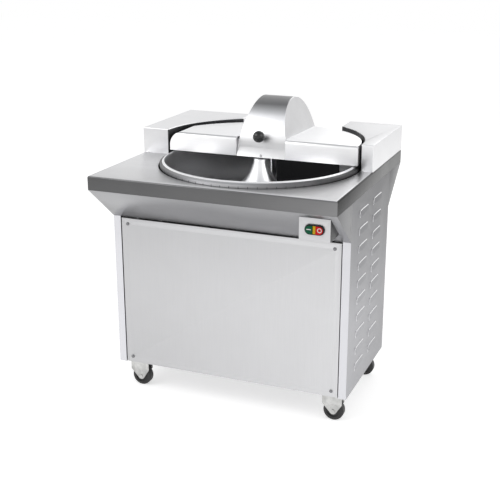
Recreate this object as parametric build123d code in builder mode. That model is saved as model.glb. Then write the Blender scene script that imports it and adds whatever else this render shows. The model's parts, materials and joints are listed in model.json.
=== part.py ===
from build123d import *
from math import atan2, cos, degrees, radians, sin, sqrt

# Meat bowl cutter: a bowl turns under half a lid, where three knives chop what lies in it.
# Millimetres. The origin is on the floor under the middle of the worktop,
# +X to the operator's right, +Y to the rear, +Z up.

# ---------------------------------------------------------------- cabinet and worktop
worktop_length = 760.0
worktop_depth = 700.0
worktop_height = 733.0
worktop_band = 43.0
worktop_bend = 6.0
sheet = 2.0
skirt_height = 114.0
cabinet_depth = 418.0
stile_width = 24.0
fold_depth = 14.0
panel_gap = 3.0
panel_inset = 1.0
panel_headroom = 5.0
panel_lift = 2.0
panel_screw_side = 45.0
panel_screw_end = 18.0
screw_radius = 2.5
screw_head_radius = 5.0
screw_head_height = 2.4
post_leg = 50.0
post_thickness = 3.0
rail_leg = 24.0
rail_height = 30.0
mid_rail_height = 440.0
base_thickness = 3.0

# louvres pressed out of both side panels
louvre_rows = 10
louvre_pitch = 53.4
louvre_height = 17.0
louvre_bulge = 5.0
louvre_top_drop = 41.0
louvre_skin = 1.2
louvre_end_taper = 12.0
louvre_lip = 1.5
louvre_columns = ((-130.0, 93.0), (20.0, 93.0))

# ---------------------------------------------------------------- bowl
bowl_x = 30.0
bowl_y = -18.0
bowl_margin = 44.0
trough_lip = 11.5
trough_crown = 28.0
bowl_wall = 3.0
rim_join = 2.4
rim_rise = 17.0
rim_drop = 7.5
rim_band = 20.5
cone_rise = 16.0
cutout_clearance = 4.5
spindle_radius = 17.5
spindle_head_radius = 60.0
spindle_collar_radius = 28.0
spindle_collar = 8.0
spindle_length = 72.0

# ---------------------------------------------------------------- knives and their shaft
shaft_rise = 42.0
knife_clearance = 4.5
knife_thickness = 4.0
knife_spacing = 20.0
knife_hub = 26.0
knife_root_angle = 100.0
knife_belly_angle = 52.0
knife_belly = 0.68
knife_tip_angle = 12.0
knife_heel_angle = 2.0
knife_back_angle = 6.0
knife_back = 0.58
knife_tail_angle = -45.0
knife_rest_angle = -100.0
knife_bevel = 9.0
knife_shaft_radius = 11.0
spacer_radius = 18.0
first_spacer = 26.0
nut_length = 22.0
nut_across = 40.0
thread_end = 6.0
quill_radius = 22.0
quill_bore = 12.5
quill_nose = 60.0
bearing_radius = 18.0
bearing_width = 12.0
pedestal_width = 60.0
pedestal_length = 36.0
pedestal_height = 72.0
pedestal_offset = 306.0

# ---------------------------------------------------------------- belts, pulleys and motors
belt_count = 2
belt_pitch = 16.0
belt_width = 9.0
belt_depth = 7.0
belt_groove_flare = 1.5
belt_slot_room = 17.5
belt_slot_shift = 5.0
knife_pulley_pitch = 28.5
drive_ratio = 1.5
pulley_width = 32.0
pulley_inset = 46.0
motor_y = 75.0
motor_z = 295.0
motor_radius = 85.0
motor_length = 260.0
motor_inset = 140.0
motor_shaft_radius = 14.0
motor_fins = 30
motor_fin_depth = 7.0
motor_foot_height = 26.0
motor_foot_spread = 110.5
motor_box_rise = 127.5
gearbox_size = 130.0
gearbox_corner = 16.0
turret_radius = 45.0
turret_gap = 1.0
bowl_motor_radius = 52.0
bowl_motor_length = 190.0
bowl_motor_box_rise = 41.6

# ---------------------------------------------------------------- lid and hood
lid_gap = 2.0
lid_front_height = 59.0
lid_rear_height = 51.0
lid_nose = 42.0
lid_shoulder = 10.0
hood_clearance = 6.5
hood_half_width = 80.5
hood_top_half_width = 51.0
hood_straight = 33.0
hood_edge = 3.0
hood_flare = 12.0
hood_flare_height = 26.0
lid_opening_half_width = 72.0
quill_slot_width = 70.0
knob_radius = 18.0
knob_stem_radius = 6.0
knob_stem_length = 12.5
knob_y = -28.0
knob_rise = 85.5
catch_radius = 3.5
catch_length = 5.0
catch_round = 2.8
catch_forward = 9.6
catch_rise = 5.2
scraper_thickness = 7.7
scraper_reach_in = 102.5
scraper_reach_out = 93.5
scraper_top = 38.0
scraper_clearance = 3.0
scraper_screw_pitch = 100.0
hinge_setback = 24.0
hinge_rise = 25.0
hinge_pin_radius = 5.0
hinge_lug_offset = 60.0
hinge_lug_width = 8.0
hinge_arm_offset = 48.0
hinge_arm_width = 10.0
hinge_eye_radius = 10.0
hinge_leaf_height = 38.0
hinge_leaf_thickness = 3.0

# ---------------------------------------------------------------- rear housings
block_x = 26.0
block_clearance = 9.0
block_height = 80.5
block_edge = 3.0
left_block_length = 238.0
right_block_length = 176.0

# ---------------------------------------------------------------- controls
control_inset = 67.2
control_width = 90.0
control_height = 65.0
control_drop = 14.0
control_setback = 15.0
pill_drop = 46.3
pill_length = 56.0
pill_width = 28.5
bezel_border = 3.0
bezel_height = 5.0
button_travel = 3.0
button_depth = 14.0
contact_depth = 9.0
lamp_width = 9.0
switch_radius = 6.0
switch_angle = 28.0
switch_rise = 17.0
gland_radius = 13.0
gland_inset = 72.0
gland_rise = 48.0

# ---------------------------------------------------------------- casters
caster_height = 88.0
caster_inset_x = 54.0
caster_inset_y = 39.0
caster_trail = 8.0
wheel_radius = 31.75
wheel_width = 24.0
axle_radius = 4.0
fork_plate = 2.5
fork_tip_radius = 11.0
fork_half_width = 31.0
fork_crown = 3.0
caster_plate_size = 50.0
caster_plate_thickness = 2.5
caster_bolt_offset = 16.0
caster_bolt_radius = 3.0
bolt_head_radius = 5.4
bolt_nut_height = 4.5
kingpin_radius = 6.0

# ---------------------------------------------------------------- fits
running_fit = 0.05
seat_gap = 0.3
hole_clearance = 0.3

# ---------------------------------------------------------------- places worked out from the sizes
half_x = worktop_length / 2
half_y = worktop_depth / 2
half_cab = cabinet_depth / 2
band_z = worktop_height - worktop_band
skirt_z = band_z - skirt_height
frame_top = worktop_height - worktop_bend
inner_x = half_x - sheet
post_y = half_cab - fold_depth
panel_half = half_x - stile_width - panel_gap
panel_low = caster_height + panel_lift
panel_high = skirt_z - panel_headroom
panel_screw_x = inner_x - panel_screw_side
gland_place = (panel_screw_x - gland_inset, panel_low + gland_rise)
base_top = caster_height + base_thickness

rim_outer = half_x - bowl_x - bowl_margin
trough_radius = (rim_outer - trough_crown) / 2
trough_pitch = rim_outer - trough_radius - trough_lip
rim_z = worktop_height + rim_rise
shaft_z = worktop_height + shaft_rise
shaft_y = bowl_y + trough_pitch
cone_z = worktop_height + cone_rise
knife_radius = trough_radius - knife_clearance
shell_radius = trough_radius + bowl_wall

lid_z = rim_z + lid_gap
lid_top_front = lid_z + lid_front_height
lid_top_rear = lid_z + lid_rear_height
hood_inner = knife_radius + hood_clearance
hood_outer = hood_inner + sheet
hinge_y = bowl_y + rim_outer + hinge_setback
hinge_z = worktop_height + hinge_rise
knob_z = worktop_height + knob_rise

block_radius = rim_outer + block_clearance
left_block_end = left_block_length - half_x
right_block_end = half_x - right_block_length
control_x = half_x - control_inset
control_stand = half_y - control_setback
pill_z = band_z - pill_drop
caster_x = half_x - caster_inset_x
caster_y = half_cab - caster_inset_y
scraper_inner = trough_pitch - scraper_reach_in
scraper_outer = trough_pitch + scraper_reach_out

pulley_x = pulley_inset - half_x
motor_front_x = motor_inset - half_x
motor_pulley_pitch = knife_pulley_pitch * drive_ratio
pulley_left = pulley_x - pulley_width / 2
pulley_right = pulley_x + pulley_width / 2
quill_left = pulley_right + sheet
knife_first_x = bowl_x - knife_spacing
quill_right = bowl_x - quill_nose


def export(piece, name):
    """Label a finished piece and write it as one STEP file."""
    piece.label = name
    export_step(piece, "parts/" + name + ".step")


def trough_height(radius, section):
    """Height of the trough's wall, of a given section radius, at a distance from the bowl's axis."""
    return shaft_z - sqrt(section ** 2 - (radius - trough_pitch) ** 2)


def trough_reach(height, section, side):
    """Distance from the bowl's axis at which the trough's wall stands at a height."""
    return trough_pitch + side * sqrt(section ** 2 - (shaft_z - height) ** 2)


# ================================================================ cabinet

with BuildPart() as worktop:
    with BuildSketch(Plane.XY.offset(band_z)):
        Rectangle(worktop_length, worktop_depth)
    extrude(amount=worktop_band)
    fillet(worktop.faces().sort_by(Axis.Z)[-1].edges(), worktop_bend)
    offset(amount=-sheet, openings=worktop.faces().sort_by(Axis.Z)[0])
    with BuildSketch(Plane.XY.offset(band_z)):
        with Locations((bowl_x, bowl_y)):
            Circle(rim_outer + cutout_clearance)
    extrude(amount=worktop_band, mode=Mode.SUBTRACT)
    with BuildSketch(Plane.XY.offset(worktop_height)):
        with Locations((pulley_x, shaft_y - belt_slot_shift)):
            RectangleRounded(
                pulley_width + 2 * belt_depth,
                2 * (knife_pulley_pitch + belt_slot_room),
                belt_depth,
            )
    extrude(amount=-worktop_band, mode=Mode.SUBTRACT)
export(worktop.part, "worktop")

for skirt_name, side in (("front_skirt", -1), ("rear_skirt", 1)):
    with BuildPart() as skirt:
        with BuildSketch(Plane.YZ.offset(-half_x)):
            with BuildLine():
                Polyline(
                    (side * half_y, band_z),
                    (side * half_cab, skirt_z),
                    (side * half_cab, band_z),
                    close=True,
                )
            make_face()
        extrude(amount=worktop_length)
        open_back = skirt.faces().filter_by(Axis.Y)[0]
        open_top = skirt.faces().sort_by(Axis.Z)[-1]
        offset(amount=-sheet, openings=[open_top, open_back])
    export(skirt.part, skirt_name)

# One louvre: a hood pressed outwards, closed above and at both ends, open below.
with BuildPart() as louvre_hood:
    with BuildSketch(Plane.YZ.offset(inner_x + sheet / 2)):
        with Locations((0, 0)):
            Rectangle(louvre_columns[0][1], louvre_height, align=(Align.MIN, Align.MAX))
    with BuildSketch(Plane.YZ.offset(half_x + louvre_bulge)):
        with Locations((louvre_end_taper, -louvre_height)):
            Rectangle(louvre_columns[0][1] - 2 * louvre_end_taper, louvre_lip, align=(Align.MIN, Align.MIN))
    loft()

with BuildPart() as louvre_mouth:
    with BuildSketch(Plane.YZ.offset(inner_x)):
        with Locations((louvre_skin, -2 * louvre_skin)):
            Rectangle(
                louvre_columns[0][1] - 2 * louvre_skin,
                louvre_height - louvre_skin,
                align=(Align.MIN, Align.MAX),
            )
    with BuildSketch(Plane.YZ.offset(half_x + louvre_bulge - louvre_skin)):
        with Locations((louvre_end_taper, -louvre_height - louvre_skin)):
            Rectangle(louvre_columns[0][1] - 2 * louvre_end_taper, louvre_lip, align=(Align.MIN, Align.MIN))
    loft()

louvre_places = [
    (0, column[0], band_z - louvre_top_drop - row * louvre_pitch)
    for column in louvre_columns
    for row in range(louvre_rows)
]

with BuildPart() as right_side_panel:
    with BuildSketch(Plane.XY.offset(caster_height)):
        with Locations((half_x - stile_width, 0)):
            Rectangle(stile_width, cabinet_depth, align=(Align.MIN, Align.CENTER))
        with Locations((half_x - stile_width + sheet, 0)):
            Rectangle(
                stile_width - 2 * sheet,
                cabinet_depth - 2 * sheet,
                align=(Align.MIN, Align.CENTER),
                mode=Mode.SUBTRACT,
            )
        with Locations((half_x - stile_width, 0)):
            Rectangle(sheet, 2 * post_y, align=(Align.MIN, Align.CENTER), mode=Mode.SUBTRACT)
    extrude(amount=band_z - caster_height)
    with Locations(*louvre_places):
        add(louvre_hood.part)
    with Locations(*louvre_places):
        add(louvre_mouth.part, mode=Mode.SUBTRACT)
export(right_side_panel.part, "right_side_panel")

with BuildPart() as left_side_panel:
    mirror(right_side_panel.part, about=Plane.YZ)
export(left_side_panel.part, "left_side_panel")

panel_screw_places = [
    (x, z)
    for x in (-panel_screw_x, panel_screw_x)
    for z in (panel_low + panel_screw_end, panel_high - panel_screw_end)
]

for panel_name, side in (("front_panel", -1), ("rear_panel", 1)):
    outer_y = side * (half_cab - panel_inset)
    with BuildPart() as panel:
        with BuildSketch(Plane.XZ.offset(-outer_y)):
            with Locations((0, (panel_low + panel_high) / 2)):
                Rectangle(2 * panel_half, panel_high - panel_low)
        extrude(amount=side * (half_cab - panel_inset - post_y))
        offset(amount=-sheet, openings=panel.faces().filter_by(Axis.Y).sort_by(Axis.Y)[0 if side > 0 else -1])
        with BuildSketch(Plane.XZ.offset(-outer_y)):
            with Locations(*panel_screw_places):
                Circle(screw_radius + hole_clearance)
        extrude(amount=side * fold_depth, mode=Mode.SUBTRACT)
        if side > 0:
            with BuildSketch(Plane.XZ.offset(-outer_y)):
                with Locations(gland_place):
                    Circle(gland_radius - bezel_border + hole_clearance)
            extrude(amount=side * fold_depth, mode=Mode.SUBTRACT)
    export(panel.part, panel_name)

with BuildPart() as panel_screws:
    for side in (-1, 1):
        face = Plane.XZ.offset(-side * (half_cab - panel_inset))
        with BuildSketch(face):
            with Locations(*panel_screw_places):
                Circle(screw_head_radius)
        extrude(amount=-side * screw_head_height)
        with BuildSketch(face):
            with Locations(*panel_screw_places):
                Circle(screw_radius)
        extrude(amount=side * (fold_depth + post_thickness))
    heads = panel_screws.faces().filter_by(Axis.Y).group_by(Axis.Y)
    chamfer(heads[0].edges() + heads[-1].edges(), screw_head_height / 2)
export(panel_screws.part, "panel_screws")

with BuildPart() as frame_posts:
    with BuildSketch(Plane.XY.offset(base_top)):
        for sx in (-1, 1):
            for sy in (-1, 1):
                with BuildLine():
                    Polyline(
                        (sx * inner_x, sy * post_y),
                        (sx * (inner_x - post_leg), sy * post_y),
                        (sx * (inner_x - post_leg), sy * (post_y - post_thickness)),
                        (sx * (inner_x - post_thickness), sy * (post_y - post_thickness)),
                        (sx * (inner_x - post_thickness), sy * (post_y - post_leg)),
                        (sx * inner_x, sy * (post_y - post_leg)),
                        close=True,
                    )
                make_face()
    extrude(amount=frame_top - base_top)
    for side in (-1, 1):
        with BuildSketch(Plane.XZ.offset(-side * post_y)):
            with Locations(*panel_screw_places):
                Circle(screw_radius + hole_clearance)
        extrude(amount=side * post_thickness, mode=Mode.SUBTRACT)
export(frame_posts.part, "frame_posts")

with BuildPart() as frame_rails:
    for sx in (-1, 1):
        with BuildSketch(Plane.XZ.offset(-(post_y - post_leg))):
            with BuildLine():
                Polyline(
                    (sx * inner_x, frame_top),
                    (sx * (inner_x - rail_leg), frame_top),
                    (sx * (inner_x - rail_leg), frame_top - post_thickness),
                    (sx * (inner_x - post_thickness), frame_top - post_thickness),
                    (sx * (inner_x - post_thickness), frame_top - rail_height),
                    (sx * inner_x, frame_top - rail_height),
                    close=True,
                )
            make_face()
        extrude(amount=2 * (post_y - post_leg))
    for sy in (-1, 1):
        rail_y = post_y - post_thickness
        with BuildSketch(Plane.YZ.offset(-(inner_x - post_thickness))):
            with BuildLine():
                Polyline(
                    (sy * rail_y, mid_rail_height),
                    (sy * (rail_y - rail_height), mid_rail_height),
                    (sy * (rail_y - rail_height), mid_rail_height - post_thickness),
                    (sy * (rail_y - post_thickness), mid_rail_height - post_thickness),
                    (sy * (rail_y - post_thickness), mid_rail_height - rail_height),
                    (sy * rail_y, mid_rail_height - rail_height),
                    close=True,
                )
            make_face()
        extrude(amount=2 * (inner_x - post_thickness))
export(frame_rails.part, "frame_rails")

caster_places = [(sx * caster_x, sy * caster_y) for sx in (-1, 1) for sy in (-1, 1)]
caster_bolt_places = [
    (x + sx * caster_bolt_offset, y + sy * caster_bolt_offset)
    for (x, y) in caster_places
    for sx in (-1, 1)
    for sy in (-1, 1)
]

with BuildPart() as base_plate:
    with BuildSketch(Plane.XY.offset(caster_height)):
        Rectangle(2 * inner_x, 2 * post_y)
        with Locations(*caster_bolt_places):
            Circle(caster_bolt_radius + hole_clearance, mode=Mode.SUBTRACT)
    extrude(amount=base_thickness)
export(base_plate.part, "base_plate")

# ================================================================ casters

plate_under = caster_height - caster_plate_thickness
crown_top = plate_under - 2 * fork_crown - seat_gap
crown_under = crown_top - fork_crown
fork_inner = wheel_width / 2 + 4 * seat_gap
axle_x = caster_trail

with BuildPart() as caster_plates:
    with BuildSketch(Plane.XY.offset(plate_under)):
        with Locations(*caster_places):
            RectangleRounded(caster_plate_size, caster_plate_size, 2 * caster_bolt_radius)
        with Locations(*caster_bolt_places):
            Circle(caster_bolt_radius + hole_clearance, mode=Mode.SUBTRACT)
    extrude(amount=caster_plate_thickness)
    with BuildSketch(Plane.XY.offset(plate_under)):
        with Locations(*caster_places):
            Circle(2 * kingpin_radius)
    extrude(amount=-2 * fork_crown)
    with BuildSketch(Plane.XY.offset(plate_under)):
        with Locations(*caster_places):
            Circle(kingpin_radius)
    extrude(amount=-(3 * fork_crown + 2 * seat_gap))
    with BuildSketch(Plane.XY.offset(crown_under - seat_gap)):
        with Locations(*caster_places):
            Circle(1.5 * kingpin_radius)
    extrude(amount=-fork_crown)
export(caster_plates.part, "caster_plates")

with BuildPart() as caster_bolts:
    with BuildSketch(Plane.XY.offset(plate_under)):
        with Locations(*caster_bolt_places):
            RegularPolygon(bolt_head_radius, 6)
    extrude(amount=-caster_bolt_radius)
    with BuildSketch(Plane.XY.offset(plate_under)):
        with Locations(*caster_bolt_places):
            Circle(caster_bolt_radius)
    extrude(amount=caster_plate_thickness + base_thickness)
    with BuildSketch(Plane.XY.offset(base_top)):
        with Locations(*caster_bolt_places):
            RegularPolygon(bolt_head_radius, 6)
    extrude(amount=bolt_nut_height)
export(caster_bolts.part, "caster_bolts")

with BuildPart() as caster_fork:
    with BuildSketch(Plane.XZ.offset(-fork_inner - fork_plate)) as fork_side:
        with Locations((axle_x, wheel_radius)):
            Circle(fork_tip_radius)
        with Locations((axle_x / 2, crown_top)):
            Rectangle(2 * fork_half_width, crown_top - wheel_radius - 2 * fork_tip_radius,
                      align=(Align.CENTER, Align.MAX))
        make_hull()
    extrude(amount=2 * (fork_inner + fork_plate))
    with BuildSketch(Plane.XZ.offset(-fork_inner)):
        with Locations((axle_x / 2, 0)):
            Rectangle(3 * fork_half_width, crown_under, align=(Align.CENTER, Align.MIN))
    extrude(amount=2 * fork_inner, mode=Mode.SUBTRACT)
    with BuildSketch(Plane.XY.offset(crown_under)):
        Circle(kingpin_radius + running_fit)
    extrude(amount=fork_crown, mode=Mode.SUBTRACT)
    with BuildSketch(Plane.XZ.offset(-fork_inner - fork_plate)):
        with Locations((axle_x, wheel_radius)):
            Circle(axle_radius + running_fit)
    extrude(amount=2 * (fork_inner + fork_plate), mode=Mode.SUBTRACT)
    axle_half = fork_inner + fork_plate
    with BuildSketch(Plane.XZ.offset(-axle_half)):
        with Locations((axle_x, wheel_radius)):
            Circle(axle_radius)
    extrude(amount=2 * axle_half)
    for side in (-1, 1):
        with BuildSketch(Plane.XZ.offset(side * axle_half)):
            with Locations((axle_x, wheel_radius)):
                Circle(1.5 * axle_radius)
        extrude(amount=side * axle_radius)

with BuildPart() as caster_wheel:
    with BuildSketch(Plane.YZ) as wheel_section:
        Rectangle(wheel_width, wheel_radius, align=(Align.CENTER, Align.MIN))
        fillet(wheel_section.vertices().group_by(Axis.Y)[-1], wheel_width / 6)
        with Locations((-wheel_width / 2, wheel_radius / 2), (wheel_width / 2, wheel_radius / 2)):
            Rectangle(wheel_width / 4, wheel_radius / 3, mode=Mode.SUBTRACT)
        with Locations((0, 0)):
            Rectangle(wheel_width, axle_radius + running_fit, align=(Align.CENTER, Align.MIN),
                      mode=Mode.SUBTRACT)
    revolve(axis=Axis.Y)

caster_names = {
    (-1, -1): "front_left",
    (-1, 1): "rear_left",
    (1, -1): "front_right",
    (1, 1): "rear_right",
}
for (sx, sy), corner in caster_names.items():
    with BuildPart() as fork:
        with Locations((sx * caster_x, sy * caster_y, 0)):
            add(caster_fork.part)
    export(fork.part, corner + "_caster_fork")
    with BuildPart() as wheel:
        with Locations((sx * caster_x + axle_x, sy * caster_y, wheel_radius)):
            add(caster_wheel.part)
    export(wheel.part, corner + "_caster_wheel")

# ================================================================ rear housings

left_block_rear = sqrt(block_radius ** 2 - (left_block_end - block_x) ** 2)
right_block_rear = sqrt(block_radius ** 2 - (right_block_end - block_x) ** 2)


def on_block_arc(angle, radius):
    """Point on the curved inner wall of the housings, the angle counted from +X."""
    return (block_x + radius * cos(radians(angle)), radius * sin(radians(angle)))


switch_plane = Plane(
    origin=(*on_block_arc(switch_angle, block_radius), shaft_z + switch_rise),
    z_dir=(-cos(radians(switch_angle)), -sin(radians(switch_angle)), 0),
)

for block_name, side, end_x, end_y in (
    ("left_block", -1, left_block_end, left_block_rear),
    ("right_block", 1, right_block_end, right_block_rear),
):
    front_corner = (block_x + side * block_radius, 0)
    end_angle = degrees(atan2(end_y, end_x - block_x))
    middle_angle = (end_angle + (180 if side < 0 else 0)) / 2
    with BuildPart() as block:
        with BuildSketch(Plane.XY.offset(worktop_height)):
            with BuildLine():
                Polyline(
                    front_corner,
                    (side * half_x, 0),
                    (side * half_x, half_y),
                    (end_x, half_y),
                    (end_x, end_y),
                )
                ThreePointArc((end_x, end_y), on_block_arc(middle_angle, block_radius), front_corner)
            make_face()
        extrude(amount=block_height)
        fillet(block.edges().filter_by(Axis.Z), block_edge)
        fillet(block.faces().sort_by(Axis.Z)[-1].edges(), block_edge)
        offset(amount=-sheet, openings=block.faces().sort_by(Axis.Z)[0])
        if side < 0:
            with BuildSketch(Plane.YZ.offset(block_x - block_radius)):
                with Locations((shaft_y, shaft_z)):
                    Circle(quill_radius + hole_clearance)
            extrude(amount=block_radius / 2, mode=Mode.SUBTRACT)
        else:
            with BuildSketch(switch_plane.offset(sheet)):
                Circle(switch_radius / 2 + hole_clearance)
            extrude(amount=-3 * sheet, mode=Mode.SUBTRACT)
    export(block.part, block_name)

with BuildPart() as lid_switch:
    with BuildSketch(switch_plane.offset(-2 * sheet)):
        Circle(switch_radius / 2)
    extrude(amount=2 * sheet + seat_gap)
    with BuildSketch(switch_plane.offset(seat_gap)):
        Circle(switch_radius)
    extrude(amount=sheet)
    with BuildSketch(switch_plane.offset(seat_gap + sheet)):
        Circle(switch_radius / 2)
    extrude(amount=sheet / 2)
export(lid_switch.part, "lid_switch")

# ================================================================ bowl

rim_inner = trough_reach(rim_z, trough_radius, 1)
cone_radius = trough_reach(cone_z, trough_radius, -1)
under_cone_z = cone_z - bowl_wall
under_cone_radius = trough_reach(under_cone_z, shell_radius, -1)
rim_slope = rim_drop / (rim_outer - rim_inner)
under_rim_z = rim_z - bowl_wall * sqrt(1 + rim_slope ** 2)
band_inner = rim_outer - bowl_wall
band_inner_z = under_rim_z - rim_slope * (band_inner - rim_inner)
join_radius = rim_inner + rim_join
join_z = under_rim_z - rim_slope * (join_radius - rim_inner)
shell_join = trough_reach(join_z, shell_radius, 1)
bowl_axis = Axis((bowl_x, bowl_y, 0), (0, 0, 1))
bowl_plane = Plane(origin=(bowl_x, bowl_y, 0), x_dir=(1, 0, 0), z_dir=(0, -1, 0))

with BuildPart() as bowl:
    with BuildSketch(bowl_plane):
        with BuildLine():
            Polyline((0, under_cone_z), (0, cone_z), (cone_radius, cone_z))
            ThreePointArc((cone_radius, cone_z), (trough_pitch, shaft_z - trough_radius), (rim_inner, rim_z))
            Polyline(
                (rim_inner, rim_z),
                (rim_outer, rim_z - rim_drop),
                (rim_outer, rim_z - rim_drop - rim_band),
                (band_inner, rim_z - rim_drop - rim_band),
                (band_inner, band_inner_z),
                (shell_join, under_rim_z - rim_slope * (shell_join - rim_inner)),
                (trough_reach(join_z - bowl_wall, shell_radius, 1), join_z - bowl_wall),
            )
            ThreePointArc(
                (trough_reach(join_z - bowl_wall, shell_radius, 1), join_z - bowl_wall),
                (trough_pitch, shaft_z - shell_radius),
                (under_cone_radius, under_cone_z),
            )
            Line((under_cone_radius, under_cone_z), (0, under_cone_z))
        make_face()
    revolve(axis=bowl_axis)
export(bowl.part, "bowl")

seat_section = shell_radius + seat_gap
head_top = under_cone_z
head_top_radius = trough_reach(head_top, seat_section, -1)
head_low = trough_height(spindle_head_radius, seat_section)
head_middle = trough_pitch - seat_section * cos(radians(30))
turret_top = trough_height(trough_pitch, shell_radius) - turret_gap
collar_low = turret_top + seat_gap

with BuildPart() as bowl_spindle:
    with BuildSketch(bowl_plane):
        with BuildLine():
            Polyline((0, head_top), (head_top_radius, head_top))
            ThreePointArc(
                (head_top_radius, head_top),
                (head_middle, trough_height(head_middle, seat_section)),
                (spindle_head_radius, head_low),
            )
            Polyline(
                (spindle_head_radius, head_low),
                (spindle_head_radius, head_low - spindle_collar),
                (spindle_collar_radius, collar_low + spindle_collar),
                (spindle_collar_radius, collar_low),
                (spindle_radius, collar_low),
                (spindle_radius, turret_top - spindle_length),
                (0, turret_top - spindle_length),
                (0, head_top),
            )
        make_face()
    revolve(axis=bowl_axis)
export(bowl_spindle.part, "bowl_spindle")

# ================================================================ bowl drive

housing_top = mid_rail_height + rail_height + gearbox_size
with BuildPart() as gearbox_housing:
    with BuildSketch(Plane.XY.offset(mid_rail_height + rail_height)):
        with Locations((bowl_x, bowl_y)):
            RectangleRounded(gearbox_size, gearbox_size, gearbox_corner)
    extrude(amount=gearbox_size)
    chamfer(gearbox_housing.faces().sort_by(Axis.Z)[-1].edges(), gearbox_corner / 2)
    with BuildSketch(Plane.XY.offset(housing_top)):
        with Locations((bowl_x, bowl_y)):
            Circle(turret_radius)
    extrude(amount=turret_top - housing_top)
    with BuildSketch(Plane.XY.offset(turret_top)):
        with Locations((bowl_x, bowl_y)):
            Circle(spindle_radius + running_fit)
    extrude(amount=-(spindle_length + sheet), mode=Mode.SUBTRACT)
export(gearbox_housing.part, "gearbox_housing")

with BuildPart() as gearbox_bridge:
    for side in (-1, 1):
        rail_x = bowl_x + side * (gearbox_size - rail_height) / 2
        with BuildSketch(Plane.XZ.offset(-(post_y - post_thickness))):
            with Locations((rail_x, mid_rail_height + rail_height / 2)):
                Rectangle(rail_height, rail_height)
                Rectangle(rail_height - 2 * post_thickness, rail_height - 2 * post_thickness,
                          mode=Mode.SUBTRACT)
        extrude(amount=2 * (post_y - post_thickness))
export(gearbox_bridge.part, "gearbox_bridge")

worm_z = mid_rail_height + rail_height + gearbox_size / 2
with BuildPart() as bowl_motor:
    with BuildSketch(Plane.YZ.offset(bowl_x + gearbox_size / 2)):
        with Locations((bowl_y, worm_z)):
            Circle(bowl_motor_radius)
    extrude(amount=bowl_motor_length)
    fillet(bowl_motor.faces().sort_by(Axis.X)[-1].edges(), gearbox_corner / 2)
    with BuildSketch(Plane.XZ.offset(-(bowl_y - bowl_motor_box_rise))):
        with Locations((bowl_x + gearbox_size / 2 + bowl_motor_length / 2, worm_z)):
            Rectangle(bowl_motor_radius, bowl_motor_radius)
    extrude(amount=bowl_motor_radius / 2)
export(bowl_motor.part, "bowl_motor")

# ================================================================ knives

with BuildPart() as knife_shaft:
    with BuildSketch(Plane.YZ.offset(pulley_left - 3 * thread_end)):
        with Locations((shaft_y, shaft_z)):
            Circle(knife_shaft_radius)
    extrude(amount=bowl_x + knife_spacing + knife_thickness / 2 + nut_length + thread_end
            - pulley_left + 3 * thread_end)
    chamfer(knife_shaft.faces().filter_by(Axis.X).edges(), knife_shaft_radius / 6)
export(knife_shaft.part, "knife_shaft")


def round_point(radius, angle):
    """Point on a circle about the knife shaft, seen along the shaft."""
    return (radius * cos(radians(angle)), radius * sin(radians(angle)))


knife_root = round_point(knife_hub, knife_root_angle)
knife_tip = round_point(knife_radius, knife_tip_angle)
knife_heel = round_point(knife_radius, knife_heel_angle)
knife_tail = round_point(knife_hub, knife_tail_angle)

for number in range(3):
    knife_x = knife_first_x + number * knife_spacing
    turn = radians(knife_rest_angle + number * 120)
    knife_plane = Plane(
        origin=(knife_x - knife_thickness / 2, shaft_y, shaft_z),
        x_dir=(0, cos(turn), sin(turn)),
        z_dir=(1, 0, 0),
    )
    with BuildPart() as knife:
        with BuildSketch(knife_plane):
            with BuildLine():
                belly = round_point(knife_radius * knife_belly, knife_belly_angle)
                ThreePointArc(knife_root, belly, knife_tip)
                ThreePointArc(
                    knife_tip,
                    round_point(knife_radius, (knife_tip_angle + knife_heel_angle) / 2),
                    knife_heel,
                )
                back = round_point(knife_radius * knife_back, knife_back_angle)
                ThreePointArc(knife_heel, back, knife_tail)
                ThreePointArc(knife_tail, round_point(knife_hub, 180 + knife_back_angle), knife_root)
            make_face()
            Circle(knife_shaft_radius + running_fit, mode=Mode.SUBTRACT)
        extrude(amount=knife_thickness)
        cutting_edge = knife.edges().filter_by(GeomType.CIRCLE).sort_by(Edge.length.fget)[-2:]
        chamfer(cutting_edge[-1:], knife_thickness / 2 - running_fit, knife_bevel)
    export(knife.part, "knife_" + str(number + 1))

knife_last_x = bowl_x + knife_spacing
with BuildPart() as knife_spacers:
    for start, end in (
        (knife_first_x - knife_thickness / 2 - first_spacer, knife_first_x - knife_thickness / 2),
        (knife_first_x + knife_thickness / 2, bowl_x - knife_thickness / 2),
        (bowl_x + knife_thickness / 2, knife_last_x - knife_thickness / 2),
    ):
        with BuildSketch(Plane.YZ.offset(start)):
            with Locations((shaft_y, shaft_z)):
                Circle(spacer_radius)
                Circle(knife_shaft_radius + running_fit, mode=Mode.SUBTRACT)
        extrude(amount=end - start)
export(knife_spacers.part, "knife_spacers")

with BuildPart() as knife_nut:
    with BuildSketch(Plane.YZ.offset(knife_last_x + knife_thickness / 2)):
        with Locations((shaft_y, shaft_z)):
            RegularPolygon(nut_across / 2, 6)
            Circle(knife_shaft_radius + running_fit, mode=Mode.SUBTRACT)
    extrude(amount=nut_length)
export(knife_nut.part, "knife_nut")

with BuildPart() as knife_quill:
    with BuildSketch(Plane.YZ.offset(quill_left)):
        with Locations((shaft_y, shaft_z)):
            Circle(quill_radius)
            Circle(quill_bore, mode=Mode.SUBTRACT)
    extrude(amount=quill_right - quill_left)
    for start, way in ((quill_left, 1), (quill_right, -1)):
        with BuildSketch(Plane.YZ.offset(start)):
            with Locations((shaft_y, shaft_z)):
                Circle(bearing_radius + running_fit)
        extrude(amount=way * bearing_width, mode=Mode.SUBTRACT)
export(knife_quill.part, "knife_quill")

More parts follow.
